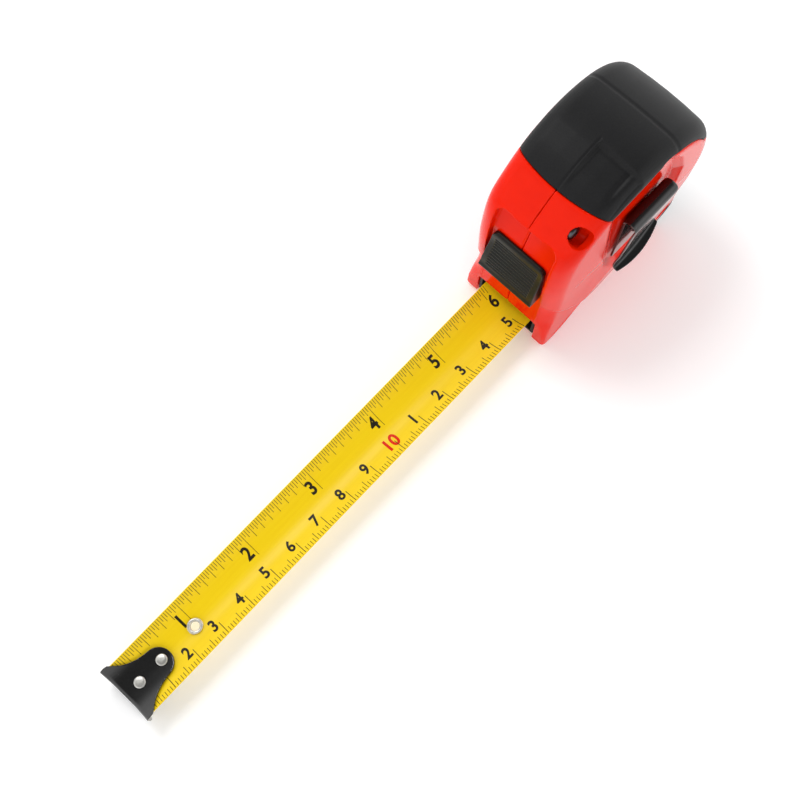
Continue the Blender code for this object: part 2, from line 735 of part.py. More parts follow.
def end_hook():
    """The bell-shaped hook: a tongue on the blade and a lip turned down in front of it."""
    tongue_z, thick, radius = BLADE_Z + BLADE_THICK + 0.4, 0.8, 13.4
    rows = []
    widths = ((-1.0, 9.2), (0.6, 9.1), (1.6, 8.3), (3.0, 6.9), (5.0, 5.6), (7.5, 4.8), (10.5, 4.35))
    for distance, half in widths:
        rows.append((HOOK_Y + distance, half, tongue_z, radius, thick))
    for angle in (15, 40, 62, 80):
        turn = math.radians(angle)
        y = HOOK_Y + 11.2 + 4.2 * math.sin(turn)
        rows.append((y, 4.3 * math.cos(turn), tongue_z, radius, thick))
    body = ribbon("end_hook", rows, 8)
    top = []
    for column in range(11):
        x = 9.2 * (1 - 2 * column / 10)
        top.append((x, tongue_z + radius - math.sqrt(radius**2 - x**2) + thick - 0.02))
    bottom = [(-9.2, 5.2), (-8.4, 2.6), (-6.4, 0.9), (-3.4, 0.2)]
    bottom += [(-x, z) for x, z in bottom[::-1]]
    lip = slab_y("hook_lip", bottom + top, HOOK_Y - 1.3, HOOK_Y - 0.3)
    join(body, lip)
    for index, distance in enumerate(RIVET_AT):
        half = RIVET_RADIUS + 0.25
        y = HOOK_Y + distance
        slot = [(x, y + HOOK_PLAY / 2 + z) for x, z in arc((0, 0), half, 0, 180, 8)]
        slot += [(x, y - HOOK_PLAY / 2 + z) for x, z in arc((0, 0), half, 180, 360, 8)]
        tool = extrude_outline(f"hook_slot_{index}", slot, -3.0, 3.0, (0, 0, 0), (0, 0, 0.008))
        cut(body, tool)
    return add_part(body, "black_paint")


def hook_rivet(name, distance):
    """A rivet through hook, blade and backing plate, with a head at each end."""
    y = HOOK_Y + distance
    head_z = BLADE_Z + BLADE_THICK + 0.4 + 0.8 + 0.25
    foot_z = BLADE_Z - 2.2
    body = pin(name, 0, y, RIVET_RADIUS, foot_z + 0.1, head_z + 0.1, 20)
    head = bmesh.new()
    rings = [(RIVET_HEAD, 0.0), (RIVET_HEAD, 0.2), (RIVET_HEAD - 0.35, 0.45), (0.7, 0.6)]
    loops = []
    for radius, rise in rings:
        loop = []
        for x, across in arc((0, y), radius, 0, 345, 23):
            loop.append(head.verts.new((x * MM, across * MM, (head_z + rise) * MM)))
        loops.append(loop)
    for low, high in zip(loops, loops[1:]):
        for index in range(len(low)):
            after = (index + 1) % len(low)
            head.faces.new((low[index], low[after], high[after], high[index]))
    head.faces.new(loops[0])
    head.faces.new(loops[-1])
    join(body, object_from(name + "_head", head))
    join(body, pin(name + "_foot", 0, y, RIVET_HEAD - 0.15, foot_z - 0.2, foot_z + 0.2, 20))
    return add_part(body, "bright_steel")


def backing_plate():
    """The plate under the blade that the rivets pull against."""
    top = BLADE_Z - GAP - 0.8
    front, back = HOOK_Y + 1.6, HOOK_Y + 14.9
    rows = [(front, 4.6, top, 16.0, 0.8), (back - 3.0, 4.2, top, 16.0, 0.8)]
    rows += [(back - 0.8, 3.2, top, 16.0, 0.8), (back, 1.6, top, 16.0, 0.8)]
    body = ribbon("backing_plate", rows, 6)
    for index, distance in enumerate(RIVET_AT):
        hole = pin(f"backing_hole_{index}", 0, HOOK_Y + distance, RIVET_RADIUS + GAP, 3, 9, 20)
        cut(body, hole)
    return add_part(body, "spring_steel")


def blade_eyelet():
    """The rolled eyelet through the blade."""
    y = HOOK_Y + EYELET_AT
    low, high = BLADE_Z - 0.5, BLADE_Z + BLADE_THICK + 0.45
    bore, barrel = 1.25, 1.6
    profile = [(high + 0.35, 1.9), (high + 0.15, EYELET_RADIUS), (high, EYELET_RADIUS), (high, barrel)]
    profile += [(low, barrel), (low, EYELET_RADIUS - 0.3), (low - 0.35, 2.0)]
    profile += [(low - 0.35, bore), (high + 0.25, bore)]
    obj = turned("blade_eyelet", profile, 0, 0, 28)
    obj.rotation_euler = (0.0, 0.0, 0.0)
    obj.location = (0.0, y * MM, 0.0)
    return add_part(obj, "bright_steel")


# ---------------------------------------------------------------- clip and screws


def clip_leg():
    """The clip's inner leg, flat in the pocket under the screw."""
    x = CLIP_BEND_X - CLIP_BEND_RADIUS
    high = CLIP_BEND_Z - CLIP_ROOT_GAP
    low_corner = (x, REEL_Y - CLIP_HALF, CLIP_LEG_BOTTOM)
    body = box("clip_leg", low_corner, (x + CLIP_THICK, REEL_Y + CLIP_HALF, high))
    cut(body, rod("clip_leg_hole", REEL_Y, REEL_Z, SCREW_RADIUS + GAP, x - 2, x + 4, 20))
    return add_part(body, "black_paint")


def clip_arm():
    """The clip's bend, outer leg and flared end, cut from one strip profile."""
    centre = (CLIP_BEND_X, CLIP_BEND_Z)
    middle = CLIP_BEND_RADIUS - CLIP_THICK / 2
    path = arc(centre, middle, 180, 0, 10)
    outer = CLIP_BEND_X + middle
    path += [(outer - 0.55, 42.0), (outer - 1.45, 34.0), (outer - 2.4, 28.4), (outer - 2.35, 26.6)]
    path += [(outer - 1.6, 25.3), (outer - 0.2, 24.7), (outer + 0.6, 24.5)]
    half = CLIP_THICK / 2
    left, right = [], []
    for index, (x, z) in enumerate(path):
        before = path[max(0, index - 1)]
        after = path[min(len(path) - 1, index + 1)]
        along = unit(after[0] - before[0], after[1] - before[1])
        left.append((x - along[1] * half, z + along[0] * half))
        right.append((x + along[1] * half, z - along[0] * half))
    body = slab_y("clip_arm", right + left[::-1], REEL_Y - CLIP_HALF, REEL_Y + CLIP_HALF)
    return add_part(body, "black_paint")


def screw(name, y, z, seat_x, tip_x, head_out):
    """A cross-head screw along X. Its head's underside is at seat_x."""
    direction = 1 if seat_x > tip_x else -1
    start, end = sorted((tip_x, seat_x + direction * 0.2))
    body = rod(name, y, z, SCREW_RADIUS, start, end, 20)
    low, high = sorted((seat_x, seat_x + direction * head_out))
    radii = (HEAD_RADIUS, HEAD_RADIUS - 0.8) if direction > 0 else (HEAD_RADIUS - 0.8, HEAD_RADIUS)
    join(body, rod(name + "_head", y, z, radii[0], low, high, 24, radii[1]))
    deep = seat_x + direction * (head_out - 0.8)
    low, high = sorted((deep, seat_x + direction * (head_out + 1.0)))
    for label, wide, tall in (("flat", 1.5, 0.3), ("upright", 0.3, 1.5)):
        slot = box(f"{name}_{label}", (low, y - wide, z - tall), (high, y + wide, z + tall))
        cut(body, slot)
    return add_part(body, "spring_steel")


def screws():
    """The two case screws, the post screw and the clip screw."""
    front_y, front_z, front_x = FRONT_SCREW
    rear_y, rear_z, rear_x = REAR_SCREW
    screw("front_case_screw", front_y, front_z, front_x + GAP, -8.0, HEAD_HIGH)
    screw("rear_case_screw", rear_y, rear_z, rear_x + GAP, -8.0, HEAD_HIGH)
    screw("post_screw", REEL_Y, REEL_Z, -13.2 - GAP, -9.2, 1.3)
    leg_face = CLIP_BEND_X - CLIP_BEND_RADIUS + CLIP_THICK
    screw("clip_screw", REEL_Y, REEL_Z, leg_face + GAP, 9.2, 0.8)


def build():
    """Builds every piece of the assembly."""
    shell("case_shell_right", 1)
    shell("case_shell_left", -1)
    grip("rubber_grip_right", 1)
    grip("rubber_grip_left", -1)
    mouth_bumper()
    lock_button()
    lock_wedge()
    reel_drum()
    reel_cover()
    wound_blade()
    power_spring()
    centre_post()
    sliding_disc("sliding_disc_left", -1)
    sliding_disc("sliding_disc_right", 1)
    blade_strip()
    end_hook()
    hook_rivet("hook_rivet_front", RIVET_AT[0])
    hook_rivet("hook_rivet_rear", RIVET_AT[1])
    backing_plate()
    blade_eyelet()
    clip_leg()
    clip_arm()
    screws()


clear_scene()
PARTS = new_collection("tape_measure")
CUTTERS = new_collection("cutters")
FINISH = {name: new_material(name) for name in MATERIALS}
build()
bpy.context.view_layer.update()
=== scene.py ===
"""Looks of the pocket tape measure: moulded case, rubber grip, printed blade, hook, lock and clip.

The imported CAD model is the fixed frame: +Z up, the case stands on Z = 0, the blade points along -Y, and
the belt clip is on the +X side. Sizes are in millimetres and become metres when a mesh is made.
"""

from __future__ import annotations

import json
import logging
import math
from dataclasses import dataclass, field, replace
from enum import Enum
from functools import cache
from typing import Callable, Iterable, Sequence

import bmesh
import bpy
import numpy as np
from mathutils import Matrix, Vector


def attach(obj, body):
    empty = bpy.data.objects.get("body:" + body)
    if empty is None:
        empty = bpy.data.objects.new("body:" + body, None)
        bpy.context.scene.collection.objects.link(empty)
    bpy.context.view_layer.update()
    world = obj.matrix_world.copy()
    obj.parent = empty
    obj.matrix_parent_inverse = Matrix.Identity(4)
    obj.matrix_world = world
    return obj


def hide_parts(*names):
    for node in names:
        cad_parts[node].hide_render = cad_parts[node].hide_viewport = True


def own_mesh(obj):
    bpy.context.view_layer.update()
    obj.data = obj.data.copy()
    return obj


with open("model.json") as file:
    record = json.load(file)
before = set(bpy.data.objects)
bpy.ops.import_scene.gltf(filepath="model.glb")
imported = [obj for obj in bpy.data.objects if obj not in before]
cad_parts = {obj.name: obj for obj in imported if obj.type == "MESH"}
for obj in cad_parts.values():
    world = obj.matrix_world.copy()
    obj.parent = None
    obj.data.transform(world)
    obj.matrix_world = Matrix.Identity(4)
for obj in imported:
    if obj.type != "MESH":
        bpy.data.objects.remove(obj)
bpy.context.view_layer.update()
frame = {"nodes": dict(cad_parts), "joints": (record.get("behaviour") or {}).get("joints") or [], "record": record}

MM = 0.001
Point = tuple[float, float]
Outline = list[Point]
Place = Sequence[float]
Placer = Callable[[float, float, float], Place]
Solid = bpy.types.Object
Tree = bpy.types.NodeTree
Socket = bpy.types.NodeSocket

log = logging.getLogger("tape_measure")


class Side(Enum):
    """One side of the case, as the sign of X."""

    RIGHT = 1
    LEFT = -1


class Solver(Enum):
    """What a Boolean does with its tool."""

    CUT = "DIFFERENCE"
    KEEP = "INTERSECT"
    JOIN = "UNION"


# ---------------------------------------------------------------- curves and steps


def unit(across: float, up: float) -> Point:
    """A direction of length one."""
    length = math.hypot(across, up) or 1.0
    return across / length, up / length


def arc(centre: Point, radius: float, start: float, end: float, steps: int) -> Outline:
    """Points on an arc.

    Args:
        centre: The arc's centre.
        radius: Its radius.
        start: First angle in degrees, from the first axis towards the second.
        end: Last angle in degrees.
        steps: How many chords the arc is split into.

    Returns:
        The points, both ends included.
    """
    points = []
    for step in range(steps + 1):
        angle = math.radians(start + (end - start) * step / steps)
        points.append((centre[0] + radius * math.cos(angle), centre[1] + radius * math.sin(angle)))
    return points


def spline(points: Sequence[Point], steps: int) -> Outline:
    """A smooth curve through every point, with the last point left out.

    Args:
        points: The points that the curve passes through.
        steps: How many chords lie between two of them.

    Returns:
        The points of the curve.
    """
    curve = []
    last = len(points) - 1
    for index in range(last):
        before, start = points[max(0, index - 1)], points[index]
        end, after = points[index + 1], points[min(last, index + 2)]
        for step in range(steps):
            t = step / steps
            curve.append(tuple(catmull(before[a], start[a], end[a], after[a], t) for a in (0, 1)))
    return curve


def catmull(before: float, start: float, end: float, after: float, t: float) -> float:
    """One coordinate of a Catmull-Rom curve between start and end."""
    first = 2 * start + (end - before) * t
    second = (2 * before - 5 * start + 4 * end - after) * t * t
    third = (3 * start - before - 3 * end + after) * t**3
    return (first + second + third) / 2


def grow(outline: Outline, distance: float) -> Outline:
    """The outline moved out by a distance. It runs anticlockwise."""
    grown = []
    count = len(outline)
    for index, (across, up) in enumerate(outline):
        before, after = outline[index - 1], outline[(index + 1) % count]
        first = unit(across - before[0], up - before[1])
        second = unit(after[0] - across, after[1] - up)
        normal = unit(first[1] + second[1], -first[0] - second[0])
        stretch = max(0.5, normal[0] * first[1] - normal[1] * first[0])
        grown.append((across + normal[0] * distance / stretch, up + normal[1] * distance / stretch))
    return grown


def ramp(value: np.ndarray | float, low: float, high: float) -> np.ndarray:
    """An S-shaped step from 0 at low to 1 at high, which may be below low."""
    share = np.clip((np.asarray(value, float) - low) / (high - low), 0.0, 1.0)
    return share * share * (3 - 2 * share)


def bump(value: np.ndarray, middle: float, half_width: float) -> np.ndarray:
    """A smooth hill of height one about a middle."""
    share = np.clip(1 - np.abs(value - middle) / half_width, 0.0, 1.0)
    return share * share * (3 - 2 * share)


# ---------------------------------------------------------------- meshes


def put(name: str, data: bpy.types.ID) -> Solid:
    """A new object in the scene that holds a mesh, curve, light or camera."""
    obj = bpy.data.objects.new(name, data)
    bpy.context.scene.collection.objects.link(obj)
    return obj


def metres(points: Iterable[Place]) -> list[Place]:
    """Points in millimetres turned into metres."""
    return [tuple(c * MM for c in point) for point in points]


def mesh_object(name: str, points: Iterable[Place], faces: Iterable[Sequence[int]]) -> Solid:
    """A new object from points in millimetres, its faces turned outwards.

    Args:
        name: The object's name.
        points: Its vertices in millimetres.
        faces: Vertex numbers of each face.

    Returns:
        The object, linked to the scene.
    """
    mesh = bpy.data.meshes.new(name)
    mesh.from_pydata(metres(points), [], [tuple(face) for face in faces])
    data = bmesh.new()
    data.from_mesh(mesh)
    bmesh.ops.remove_doubles(data, verts=data.verts, dist=1e-7)
    bmesh.ops.recalc_face_normals(data, faces=data.faces)
    if data.calc_volume(signed=True) < 0:
        bmesh.ops.reverse_faces(data, faces=data.faces)
    data.to_mesh(mesh)
    data.free()
    return put(name, mesh)


def loft(name: str, rings: Sequence[Sequence[Place]], capped: bool = True) -> Solid:
    """A skin over closed rings of equal length, with flat ends.

    Args:
        name: The object's name.
        rings: The rings, each a list of points in millimetres.
        capped: Whether the first and last ring are filled. If not, the last joins the first.

    Returns:
        The object.
    """
    count = len(rings[0])
    points = [point for ring in rings for point in ring]
    faces = []
    last = len(rings) - 1 if capped else len(rings)
    for row in range(last):
        low, high = row * count, (row + 1) % len(rings) * count
        for index in range(count):
            after = (index + 1) % count
            faces.append((low + index, low + after, high + after, high + index))
    if capped:
        faces.append(tuple(range(count)))
        faces.append(tuple(range(len(points) - 1, len(points) - count - 1, -1)))
    return mesh_object(name, points, faces)


def slab(name: str, outline: Outline, low: float, high: float, end: Outline | None = None) -> Solid:
    """A (Y, Z) outline extruded along X, or lofted to a second outline at its high end."""
    first = [(low, y, z) for y, z in outline]
    second = [(high, y, z) for y, z in (end or outline)]
    return loft(name, [first, second])


def slab_front(name: str, outline: Outline, low: float, high: float) -> Solid:
    """An (X, Z) outline extruded along Y."""
    return loft(name, [[(x, low, z) for x, z in outline], [(x, high, z) for x, z in outline]])


def block(name: str, low: Place, high: Place) -> Solid:
    """A box between two corners, used as a tool."""
    outline = [(low[1], low[2]), (high[1], low[2]), (high[1], high[2]), (low[1], high[2])]
    return slab(name, outline, low[0], high[0])


def turned(name: str, profile: Outline, place: Placer, steps: int) -> Solid:
    """A solid turned about an axis.

    Args:
        name: The object's name.
        profile: A closed profile of (height, radius) points. One with radius 0 at both ends is a full solid.
        place: Gives a point in the row frame from height and the two directions across the axis.
        steps: How many segments go round.

    Returns:
        The object.
    """
    rings = []
    for step in range(steps):
        angle = math.tau * step / steps
        rings.append([place(h, r * math.cos(angle), r * math.sin(angle)) for h, r in profile])
    return loft(name, rings, capped=False)


def along_x(y: float, z: float, sign: int = 1) -> Placer:
    """Places a turned solid's axis along X through a point."""
    return lambda height, a, b: (sign * height, y + a, z + b)


def along_z(x: float, y: float) -> Placer:
    """Places a turned solid's axis along Z through a point."""
    return lambda height, a, b: (x + a, y + b, height)


def rod(name: str, y: float, z: float, radius: float, low: float, high: float) -> Solid:
    """A cylinder along X, used as a tool."""
    return slab(name, arc((y, z), radius, 0, 352.5, 47), low, high)


def use(target: Solid, solver: Solver, *tools: Solid) -> Solid:
    """Applies tools to the target and removes them.

    Args:
        target: The mesh that is worked on.
        solver: What the tools do.
        tools: The tool meshes.

    Returns:
        The target.
    """
    for tool in tools:
        modifier = target.modifiers.new(tool.name, "BOOLEAN")
        modifier.operation = solver.value
        modifier.solver = "EXACT"
        modifier.object = tool
    settle(target)
    for tool in tools:
        bpy.data.objects.remove(tool, do_unlink=True)
    return target


def settle(obj: Solid) -> Solid:
    """Makes the object's modifiers part of its mesh."""
    bpy.context.view_layer.update()
    graph = bpy.context.evaluated_depsgraph_get()
    mesh = bpy.data.meshes.new_from_object(obj.evaluated_get(graph))
    obj.modifiers.clear()
    old = obj.data
    obj.data = mesh
    bpy.data.meshes.remove(old)
    mesh.name = obj.name
    return obj


def soften(obj: Solid, passes: int) -> Solid:
    """Smooths a mesh by some passes; more give rounder edges."""
    soft = obj.modifiers.new("soft", "SMOOTH")
    soft.factor = 0.5
    soft.iterations = passes
    settle(obj)
    obj.data.shade_smooth()
    return obj


def fillet(obj: Solid, voxel: float, passes: int) -> Solid:
    """Turns a solid into an even fine mesh and rounds all its edges a little.

    Args:
        obj: The solid.
        voxel: Size of the mesh's cells in millimetres.
        passes: Smoothing passes; more give rounder edges.

    Returns:
        The object.
    """
    cells = obj.modifiers.new("cells", "REMESH")
    cells.mode = "VOXEL"
    cells.voxel_size = voxel * MM
    return soften(obj, passes)


Mover = Callable[[np.ndarray, np.ndarray], np.ndarray]


def press(obj: Solid, depth: Mover, passes: int = 1) -> Solid:
    """Moves a mesh's points in along their normals.

    Args:
        obj: A fine mesh.
        depth: Gives each point's depth in millimetres from all points in millimetres and their normals.
        passes: Smoothing passes afterwards.

    Returns:
        The object.
    """
    mesh = obj.data
    count = len(mesh.vertices)
    points = np.empty(count * 3)
    normals = np.empty(count * 3)
    mesh.vertices.foreach_get("co", points)
    mesh.vertex_normals.foreach_get("vector", normals)
    points = points.reshape(-1, 3) / MM
    normals = normals.reshape(-1, 3)
    points -= normals * depth(points, normals)[:, None]
    mesh.vertices.foreach_set("co", (points * MM).ravel())
    mesh.update()
    return soften(obj, passes)


def crisp(obj: Solid, angle: float = 32.0) -> Solid:
    """Smooth shading with sharp corners above an angle in degrees."""
    obj.data.shade_smooth()
    obj.data.set_sharp_from_angle(angle=math.radians(angle))
    return obj


# ---------------------------------------------------------------- shared effects


def add_node(tree: Tree, kind: str, inputs: dict[str | int, object], **settings: object) -> bpy.types.Node:
    """Adds a shader node, sets it up and fills its inputs.

    Args:
        tree: The tree that it goes in.
        kind: Its type, without the leading "ShaderNode".
        inputs: A value, or the socket to link, for each input that isn't left as it is.
        settings: The node's own properties.

    Returns:
        The node.
    """
    node = tree.nodes.new("ShaderNode" + kind)
    for key, value in settings.items():
        setattr(node, key, value)
    fill(tree, node, inputs)
    return node


def fill(tree: Tree, node: bpy.types.Node, inputs: dict[str | int, object]) -> None:
    """Sets or links a node's inputs."""
    for key, value in inputs.items():
        if isinstance(value, Socket):
            tree.links.new(value, node.inputs[key])
        else:
            node.inputs[key].default_value = value


class Effects:
    """Shader node groups that the finishes share, each built once."""

    @staticmethod
    def start(name: str, inputs: dict[str, float], outputs: Sequence[str]) -> Tree:
        """A new group with float sockets.

        Args:
            name: The group's name.
            inputs: Its inputs and their values.
            outputs: Its outputs.

        Returns:
            The group.
        """
        tree = bpy.data.node_groups.new(name, "ShaderNodeTree")
        for label, value in inputs.items():
            socket = tree.interface.new_socket(label, in_out="INPUT", socket_type="NodeSocketFloat")
            socket.default_value = value
        for label in outputs:
            tree.interface.new_socket(label, in_out="OUTPUT", socket_type="NodeSocketFloat")
        tree.nodes.new("NodeGroupInput").name = "in"
        tree.nodes.new("NodeGroupOutput").name = "out"
        return tree

    @staticmethod
    @cache
    def grain() -> Tree:
        """Fine surface grain: noise stretched along Y.

        Returns:
            A group with inputs Scale and Stretch, and outputs Height and Mask.
        """
        tree = Effects.start("surface_grain", {"Scale": 900.0, "Stretch": 1.0}, ("Height", "Mask"))
        given = tree.nodes["in"].outputs
        place = add_node(tree, "TexCoord", {}).outputs["Object"]
        squeeze = add_node(tree, "CombineXYZ", {"X": 1.0, "Y": given["Stretch"], "Z": 1.0}).outputs["Vector"]
        scaled = add_node(tree, "VectorMath", {0: place, 1: squeeze}, operation="MULTIPLY").outputs["Vector"]
        inputs = {"Vector": scaled, "Scale": given["Scale"], "Detail": 4.0, "Roughness": 0.6}
        noise = add_node(tree, "TexNoise", inputs).outputs["Fac"]
        mask = add_node(tree, "MapRange", {"Value": noise, "From Min": 0.35, "From Max": 0.65})
        fill(tree, tree.nodes["out"], {"Height": noise, "Mask": mask.outputs["Result"]})
        return tree

    @staticmethod
    @cache
    def handling() -> Tree:
        """Faint patches where hands have dulled a surface.

        Returns:
            A group with inputs Roughness, Spread and Scale, and output Roughness.
        """
        inputs = {"Roughness": 0.3, "Spread": 0.06, "Scale": 60.0}
        tree = Effects.start("handling_marks", inputs, ("Roughness",))
        given = tree.nodes["in"].outputs
        place = add_node(tree, "TexCoord", {}).outputs["Object"]
        inputs = {"Vector": place, "Scale": given["Scale"], "Detail": 5.0}
        noise = add_node(tree, "TexNoise", inputs).outputs["Fac"]
        centred = add_node(tree, "Math", {0: noise, 1: 0.5}, operation="SUBTRACT").outputs[0]
        spread = add_node(tree, "Math", {0: centred, 1: given["Spread"]}, operation="MULTIPLY").outputs[0]
        total = add_node(tree, "Math", {0: spread, 1: given["Roughness"]}, operation="ADD", use_clamp=True)
        fill(tree, tree.nodes["out"], {"Roughness": total.outputs[0]})
        return tree

    @staticmethod
    @cache
    def edges() -> Tree:
        """Where a surface turns sharply outwards: the mask for lighter edges, partly wear and partly a painted
        highlight.

        Returns:
            A group with inputs Low and High, and output Mask.
        """
        tree = Effects.start("edge_wear_and_highlight", {"Low": 0.52, "High": 0.6}, ("Mask",))
        given = tree.nodes["in"].outputs
        bend = add_node(tree, "NewGeometry", {}).outputs["Pointiness"]
        inputs = {"Value": bend, "From Min": given["Low"], "From Max": given["High"]}
        mask = add_node(tree, "MapRange", inputs)
        fill(tree, tree.nodes["out"], {"Mask": mask.outputs["Result"]})
        return tree


Colour = tuple[float, float, float]


@dataclass(frozen=True)
class Finish:
    """How one material looks.

    Attributes:
        name: The record's material slot.
        colour: Its base colour.
        second: The colour that its grain drifts to.
        edge: The lighter colour of its outer edges: partly wear, partly a painted highlight.
        edge_wear_and_highlight_share: How much of that colour the edges take.
        roughness: Its mean roughness.
        spread: How much handling changes the roughness.
        metallic: 1 for bare metal.
        coat: Weight of its clear coat.
        coat_roughness: Roughness of that coat.
        grain: Noise scale of its grain, per metre.
        stretch: Stretch of the grain along Y; below 1 gives streaks along the blade.
        relief: Height of the grain in millimetres.
        sheen: Soft sheen of rubber.
        specular: Strength of the reflection seen straight on; 0.5 is glossy plastic.
    """

    name: str
    colour: Colour
    second: Colour
    edge: Colour
    edge_wear_and_highlight_share: float = 0.0
    roughness: float = 0.3
    spread: float = 0.05
    metallic: float = 0.0
    coat: float = 0.0
    coat_roughness: float = 0.05
    grain: float = 900.0
    stretch: float = 1.0
    relief: float = 0.004
    sheen: float = 0.0
    specular: float = 0.5

    @cache
    def material(self) -> bpy.types.Material:
        """The finish as a material, built the first time that it is asked for."""
        material = bpy.data.materials.new("finish_" + self.name)
        material.use_nodes = True
        tree = material.node_tree
        grain = add_node(tree, "Group", {}, node_tree=Effects.grain())
        fill(tree, grain, {"Scale": self.grain, "Stretch": self.stretch})
        edges = add_node(tree, "Group", {}, node_tree=Effects.edges()).outputs["Mask"]
        handling = add_node(tree, "Group", {}, node_tree=Effects.handling())
        fill(tree, handling, {"Roughness": self.roughness, "Spread": self.spread})
        # Outer edges take the lighter edge colour: partly wear, partly a painted highlight.
        share = add_node(tree, "Math", {0: edges, 1: self.edge_wear_and_highlight_share}, operation="MULTIPLY").outputs[0]
        drift = self.mix(tree, grain.outputs["Mask"], (*self.colour, 1.0), (*self.second, 1.0))
        heights = {"Strength": 1.0, "Distance": self.relief * MM, "Height": grain.outputs["Height"]}
        surface = {
            "Base Color": self.mix(tree, share, drift, (*self.edge, 1.0)),
            "Roughness": handling.outputs["Roughness"],
            "Normal": add_node(tree, "Bump", heights).outputs["Normal"],
            "Metallic": self.metallic,
            "Coat Weight": self.coat,
            "Coat Roughness": self.coat_roughness,
            "Sheen Weight": self.sheen,
            "Sheen Roughness": 0.4,
            "Specular IOR Level": self.specular,
        }
        fill(tree, tree.nodes["Principled BSDF"], surface)
        return material

    @staticmethod
    def mix(tree: Tree, share: Socket, first: object, second: object) -> Socket:
        """Mixes two colours, each a colour or a socket, by a share."""
        return add_node(tree, "Mix", {"Factor": share, 6: first, 7: second}, data_type="RGBA").outputs[2]


# Each finish's edge colour lightens its outer edges: partly wear, partly a painted highlight.
RED_PLASTIC = Finish(
    name="red_plastic",
    colour=(0.71, 0.011, 0.0003),
    second=(0.68, 0.010, 0.0003),
    edge=(0.84, 0.03, 0.006),
    edge_wear_and_highlight_share=0.1,
    roughness=0.14,
    spread=0.04,
    grain=260.0,
    relief=0.001,
    specular=0.08,
)
BLACK_RUBBER = Finish(
    name="black_rubber",
    colour=(0.007, 0.007, 0.0075),
    second=(0.010, 0.010, 0.0105),
    edge=(0.03, 0.03, 0.03),
    edge_wear_and_highlight_share=0.1,
    roughness=0.5,
    spread=0.08,
    grain=2600.0,
    relief=0.008,
    specular=0.15,
)
BLACK_PLASTIC = Finish(
    name="black_plastic",
    colour=(0.008, 0.008, 0.006),
    second=(0.011, 0.011, 0.009),
    edge=(0.05, 0.05, 0.045),
    edge_wear_and_highlight_share=0.25,
    roughness=0.34,
    spread=0.06,
    grain=2200.0,
    relief=0.004,
    specular=0.18,
)
YELLOW_BLADE = Finish(
    name="yellow_blade",
    colour=(0.83, 0.59, 0.008),
    second=(0.81, 0.56, 0.007),
    edge=(0.80, 0.50, 0.01),
    roughness=0.3,
    spread=0.04,
    grain=1400.0,
    stretch=0.04,
    relief=0.001,
    specular=0.16,
)
BLACK_PAINT = Finish(
    name="black_paint",
    colour=(0.006, 0.006, 0.006),
    second=(0.009, 0.009, 0.009),
    edge=(0.12, 0.12, 0.12),
    edge_wear_and_highlight_share=0.15,
    roughness=0.14,
    spread=0.05,
    coat=0.3,
    grain=1500.0,
    relief=0.002,
    specular=0.4,
)
BRIGHT_STEEL = Finish(
    name="bright_steel",
    colour=(0.62, 0.61, 0.57),
    second=(0.48, 0.47, 0.44),
    edge=(0.85, 0.85, 0.83),
    edge_wear_and_highlight_share=0.6,
    roughness=0.36,
    spread=0.2,
    metallic=1.0,
    grain=1800.0,
    relief=0.02,
)
SPRING_STEEL = Finish(
    name="spring_steel",
    colour=(0.23, 0.23, 0.25),
    second=(0.16, 0.16, 0.18),
    edge=(0.5, 0.5, 0.5),
    edge_wear_and_highlight_share=0.6,
    roughness=0.3,
    spread=0.15,
    metallic=1.0,
    grain=1500.0,
    relief=0.006,
)
DARK_STEEL = Finish(
    name="dark_steel",
    colour=(0.07, 0.07, 0.075),
    second=(0.045, 0.045, 0.05),
    edge=(0.3, 0.3, 0.3),
    edge_wear_and_highlight_share=0.3,
    roughness=0.28,
    spread=0.1,
    metallic=1.0,
    grain=1500.0,
    relief=0.004,
)
WHITE_PLASTIC = Finish(
    name="white_plastic",
    colour=(0.74, 0.73, 0.69),
    second=(0.69, 0.68, 0.64),
    edge=(0.8, 0.8, 0.78),
    roughness=0.45,
    grain=1200.0,
    relief=0.004,
)
BLACK_INK = Finish(
    name="black_ink",
    colour=(0.012, 0.010, 0.008),
    second=(0.03, 0.024, 0.012),
    edge=(0.02, 0.02, 0.02),
    roughness=0.4,
    grain=3000.0,
    relief=0.001,
    specular=0.12,
)
RED_INK = Finish(
    name="red_ink",
    colour=(0.68, 0.012, 0.002),
    second=(0.62, 0.02, 0.002),
    edge=(0.7, 0.05, 0.01),
    roughness=0.4,
    grain=3000.0,
    relief=0.001,
    specular=0.1,
)
NODE_FINISH = {
    finish.name: finish
    for finish in (
        RED_PLASTIC,
        BLACK_RUBBER,
        BLACK_PLASTIC,
        YELLOW_BLADE,
        BLACK_PAINT,
        BRIGHT_STEEL,
        SPRING_STEEL,
        WHITE_PLASTIC,
    )
}


def dress(obj: Solid, finish: Finish, body: str, *nodes: str, slot: str = "") -> Solid:
    """Gives a piece its finish and its place in the assembly.

    Args:
        obj: The piece, in the row frame.
        finish: Its finish.
        body: The CAD body that it moves with.
        nodes: The CAD nodes that it stands for.
        slot: The record's slot, if it isn't the finish's name. Not used.

    Returns:
        The piece.
    """
    obj.data.materials.clear()
    obj.data.materials.append(finish.material())
    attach(obj, body)
    if nodes:
        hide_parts(*nodes)
    log.info("%s on %s: %d faces", obj.name, body, len(obj.data.polygons))
    return obj


# ---------------------------------------------------------------- the case


